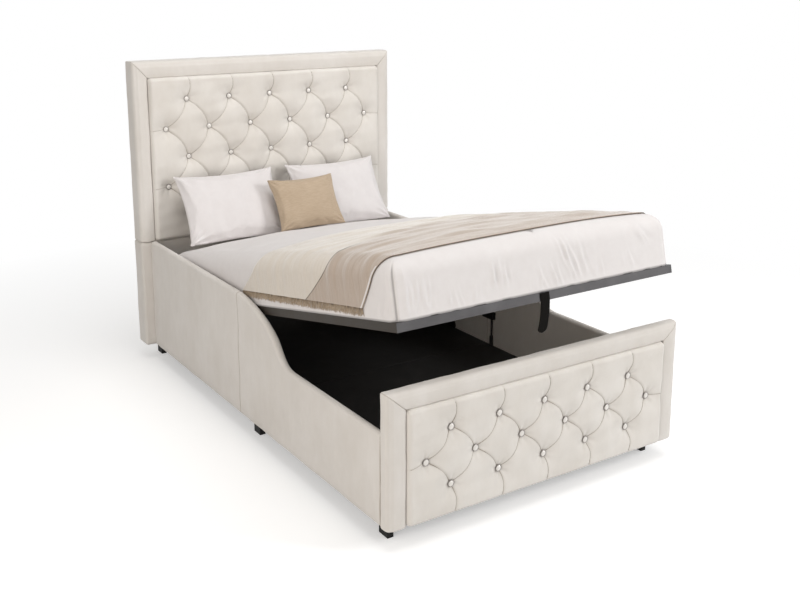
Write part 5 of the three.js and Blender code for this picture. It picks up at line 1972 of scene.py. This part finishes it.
@dataclass
class Headboard:
    """Surround, tufted panel, buttons and the lower part of the headboard."""

    finishes: Finishes
    half: float = 0.6825
    face: float = 0.986
    back: float = 1.084
    seam: float = 0.575
    seam_gap: float = 0.0003
    low: float = 0.071
    top: float = 1.410

    def build(self) -> None:
        """Makes the headboard's pieces."""
        Surround(
            name="headboard_surround", node="headboard_frame", half=self.half,
            low=self.seam + self.seam_gap, top=self.top, face=self.face, back=self.back,
            side_border=0.069, top_border=0.075, edge=0.018, recess=0.022, finishes=self.finishes,
        ).build()
        TuftedPanel(
            name="headboard_tufting", node="headboard_tufted_panel", half=0.613, low=0.5753,
            high=1.3345, face=self.face, back=1.0076, crown=0.020, pitch=0.2137,
            row_pitch=0.1353, top_row=1.2306, rows=5, finishes=self.finishes,
        ).build_all()
        surface = Surface()
        up, deep = (self.low, self.seam - self.seam_gap), (self.face, self.back)
        slab_grid(surface, (-self.half, self.half), up, deep, 0.012, swell=0.0006, seed=7)
        made = surface.build("headboard_lower_block", [self.finishes.velvet], 60.0)
        settle(made, "bed_base", ("headboard_lower",))


@dataclass
class Footboard:
    """Surround, tufted panel and buttons of the footboard."""

    finishes: Finishes
    half: float = 0.642
    face: float = -1.070
    back: float = -1.020

    def build(self) -> None:
        """Makes the footboard's pieces."""
        Surround(
            name="footboard_surround", node="footboard_frame", half=self.half, low=0.071,
            top=0.535, face=self.face, back=self.back, side_border=0.072, top_border=0.063,
            edge=0.016, recess=0.022, finishes=self.finishes,
        ).build()
        TuftedPanel(
            name="footboard_tufting", node="footboard_tufted_panel", half=0.5695, low=0.0715,
            high=0.4715, face=self.face, back=-1.0484, crown=0.014, pitch=0.1974,
            row_pitch=0.0994, top_row=0.3738, rows=3, finishes=self.finishes,
        ).build_all()


@dataclass
class Rails:
    """The four lengths of side rail."""

    finishes: Finishes
    foot_end: float = -1.0197
    joint: float = 0.030
    head_end: float = 0.9857
    gap: float = 0.0003
    high: float = 0.580
    foot_high: float = 0.390

    def build(self) -> None:
        """Makes a head length and a foot length on each side."""
        for side, word in ((1, "right"), (-1, "left")):
            Rail(
                f"rail_head_{word}", f"side_rail_head_{word}", side, self.joint + self.gap,
                self.head_end, self.high, self.high, self.finishes, head_corner=0.025,
            ).build()
            Rail(
                f"rail_foot_{word}", f"side_rail_foot_{word}", side, self.foot_end, self.joint,
                self.high, self.foot_high, self.finishes, curve=0.450,
            ).build()


@dataclass
class Bedding:
    """Mattress, throw, two pillows and the scatter cushion."""

    finishes: Finishes

    def build(self) -> None:
        """Makes the bedding on the platform."""
        mattress = Mattress(self.finishes)
        mattress.build()
        Throw(mattress, self.finishes).build()
        for sign, word, seed in ((-1, "left", 1), (1, "right", 2)):
            Pillow(
                name=f"bed_pillow_{word}", node=f"pillow_{word}", width=0.500, height=0.342,
                thickness=0.094, centre=sign * 0.286, from_head=0.104,
                stuffing=Stuffing.BED_PILLOW, mattress=mattress, material=self.finishes.cotton,
                slot="pillow_cotton", seed=seed,
            ).build()
        Pillow(
            name="linen_cushion", node="scatter_cushion", width=0.345, height=0.258,
            thickness=0.080, centre=0.040, from_head=0.216, stuffing=Stuffing.SCATTER,
            mattress=mattress, material=self.finishes.linen, slot="cushion_linen", seed=3,
            fill=0.75,
        ).build()


@dataclass
class Studio:
    """Pale floor, white surroundings, soft lamps and the camera."""

    camera_at: Place = (-2.2332, -3.5690, 1.7933)
    yaw: float = 0.5805
    pitch: float = 0.2180
    lens: float = 46.65
    shift: float = -0.12
    ambient: float = 0.40
    floor_reach: float = 30.0
    floor_glow: float = 0.36
    fade_from: float = 1.5
    fade_to: float = 3.3

    def build(self) -> None:
        """Makes the camera, the lamps, the world and the floor."""
        scene = bpy.context.scene
        scene.view_settings.view_transform = "Standard"
        data = bpy.data.cameras.new("picture_camera")
        data.lens, data.sensor_width, data.shift_y = self.lens, 36.0, self.shift
        data.clip_end = 200.0
        camera = bpy.data.objects.new("picture_camera", data)
        camera.location = self.camera_at
        camera.rotation_euler = (math.pi / 2 - self.pitch, 0.0, -self.yaw)
        scene.collection.objects.link(camera)
        scene.camera = camera
        self.lamp("key_lamp", (3.3, -4.1, 2.6), 1.6, 127.0, (1.0, 1.0, 0.995))
        self.lamp("top_lamp", (0.2, -0.6, 4.2), 3.4, 76.0, (1.0, 0.995, 0.985))
        self.lamp("fill_lamp", (-3.8, -2.2, 1.6), 3.0, 66.0, (1.0, 0.935, 0.86))
        self.world(scene)
        self.floor()

    def lamp(self, name: str, place: Place, size: float, power: float, colour: Colour) -> None:
        """Adds a square area lamp that points at the bed.

        Args:
            name: The lamp's name.
            place: Where it stands.
            size: Its side.
            power: Its power in watts.
            colour: Its colour.
        """
        data = bpy.data.lights.new(name, "AREA")
        data.shape, data.size, data.energy, data.color = "SQUARE", size, power, colour
        lamp = bpy.data.objects.new(name, data)
        lamp.location = place
        aim = np.array([0.0, 0.0, 0.45]) - np.array(place)
        flat = math.hypot(aim[0], aim[1])
        lamp.rotation_euler = (math.atan2(flat, -aim[2]), 0.0, math.atan2(-aim[0], aim[1]))
        bpy.context.scene.collection.objects.link(lamp)

    def seen(self, nodes: Nodes) -> Socket:
        """Tells the rays that see a surface from those that light others.

        Args:
            nodes: The tree that asks.

        Returns:
            One for camera, glossy and transmission rays, and zero for the rest.
        """
        rays = nodes.add("ShaderNodeLightPath")
        total = rays.outputs["Is Camera Ray"]
        for other in ("Is Glossy Ray", "Is Transmission Ray"):
            largest = nodes.add("ShaderNodeMath", operation="MAXIMUM")
            nodes.join(total, largest.inputs[0])
            nodes.join(rays.outputs[other], largest.inputs[1])
            total = largest.outputs[0]
        return total

    def world(self, scene: bpy.types.Scene) -> None:
        """Sets a world that is white where it is seen and a soft grey light elsewhere.

        Args:
            scene: The scene that gets it.
        """
        world = bpy.data.worlds.new("studio_world")
        world.use_nodes = True
        nodes = Nodes(world.node_tree)
        soft, white = nodes.add("ShaderNodeBackground"), nodes.add("ShaderNodeBackground")
        soft.inputs[0].default_value = (1.0, 0.99, 0.975, 1.0)
        soft.inputs[1].default_value = self.ambient
        white.inputs[0].default_value = (1.0, 1.0, 1.0, 1.0)
        shown = nodes.mix(self.seen(nodes), soft.outputs[0], white.outputs[0])
        nodes.join(shown, nodes.add("ShaderNodeOutputWorld").inputs[0])
        scene.world = world

    def floor(self) -> None:
        """A wide pale floor that reads white away from the bed and keeps its shadow."""
        size = self.floor_reach
        corners = [(-size, -size, 0), (size, -size, 0), (size, size, 0), (-size, size, 0)]
        mesh = bpy.data.meshes.new("studio_floor")
        mesh.from_pydata(corners, [], [(0, 1, 2, 3)])
        floor = bpy.data.objects.new("studio_floor", mesh)
        bpy.context.scene.collection.objects.link(floor)
        material = bpy.data.materials.new("studio_floor_pale")
        material.use_nodes = True
        nodes = Nodes(material.node_tree)
        pale = nodes.add("ShaderNodeBsdfDiffuse")
        pale.inputs[0].default_value = (0.8, 0.8, 0.8, 1.0)
        glow, far_glow = nodes.add("ShaderNodeEmission"), nodes.add("ShaderNodeEmission")
        glow.inputs[1].default_value = self.floor_glow
        both = nodes.add("ShaderNodeAddShader")
        nodes.join(pale.outputs[0], both.inputs[0])
        nodes.join(glow.outputs[0], both.inputs[1])
        length = nodes.add("ShaderNodeVectorMath", operation="LENGTH")
        nodes.join(nodes.add("ShaderNodeTexCoord").outputs["Object"], length.inputs[0])
        away = nodes.add("ShaderNodeMapRange")
        away.inputs[1].default_value, away.inputs[2].default_value = self.fade_from, self.fade_to
        nodes.join(length.outputs["Value"], away.inputs[0])
        fade = nodes.mix(away.outputs[0], both.outputs[0], far_glow.outputs[0])
        shown = nodes.mix(self.seen(nodes), pale.outputs[0], fade)
        nodes.join(shown, nodes.add("ShaderNodeOutputMaterial").inputs[0])
        mesh.materials.append(material)


def main() -> None:
    """Builds the bed in order."""
    logging.basicConfig(level=logging.INFO, format="%(name)s: %(message)s")
    Studio().build()
    finishes = Finishes()
    finishes.dress_nodes()
    Headboard(finishes).build()
    Footboard(finishes).build()
    Rails(finishes).build()
    Bedding(finishes).build()
    LiftStrap(finishes).build()


if __name__ == "__main__":
    main()
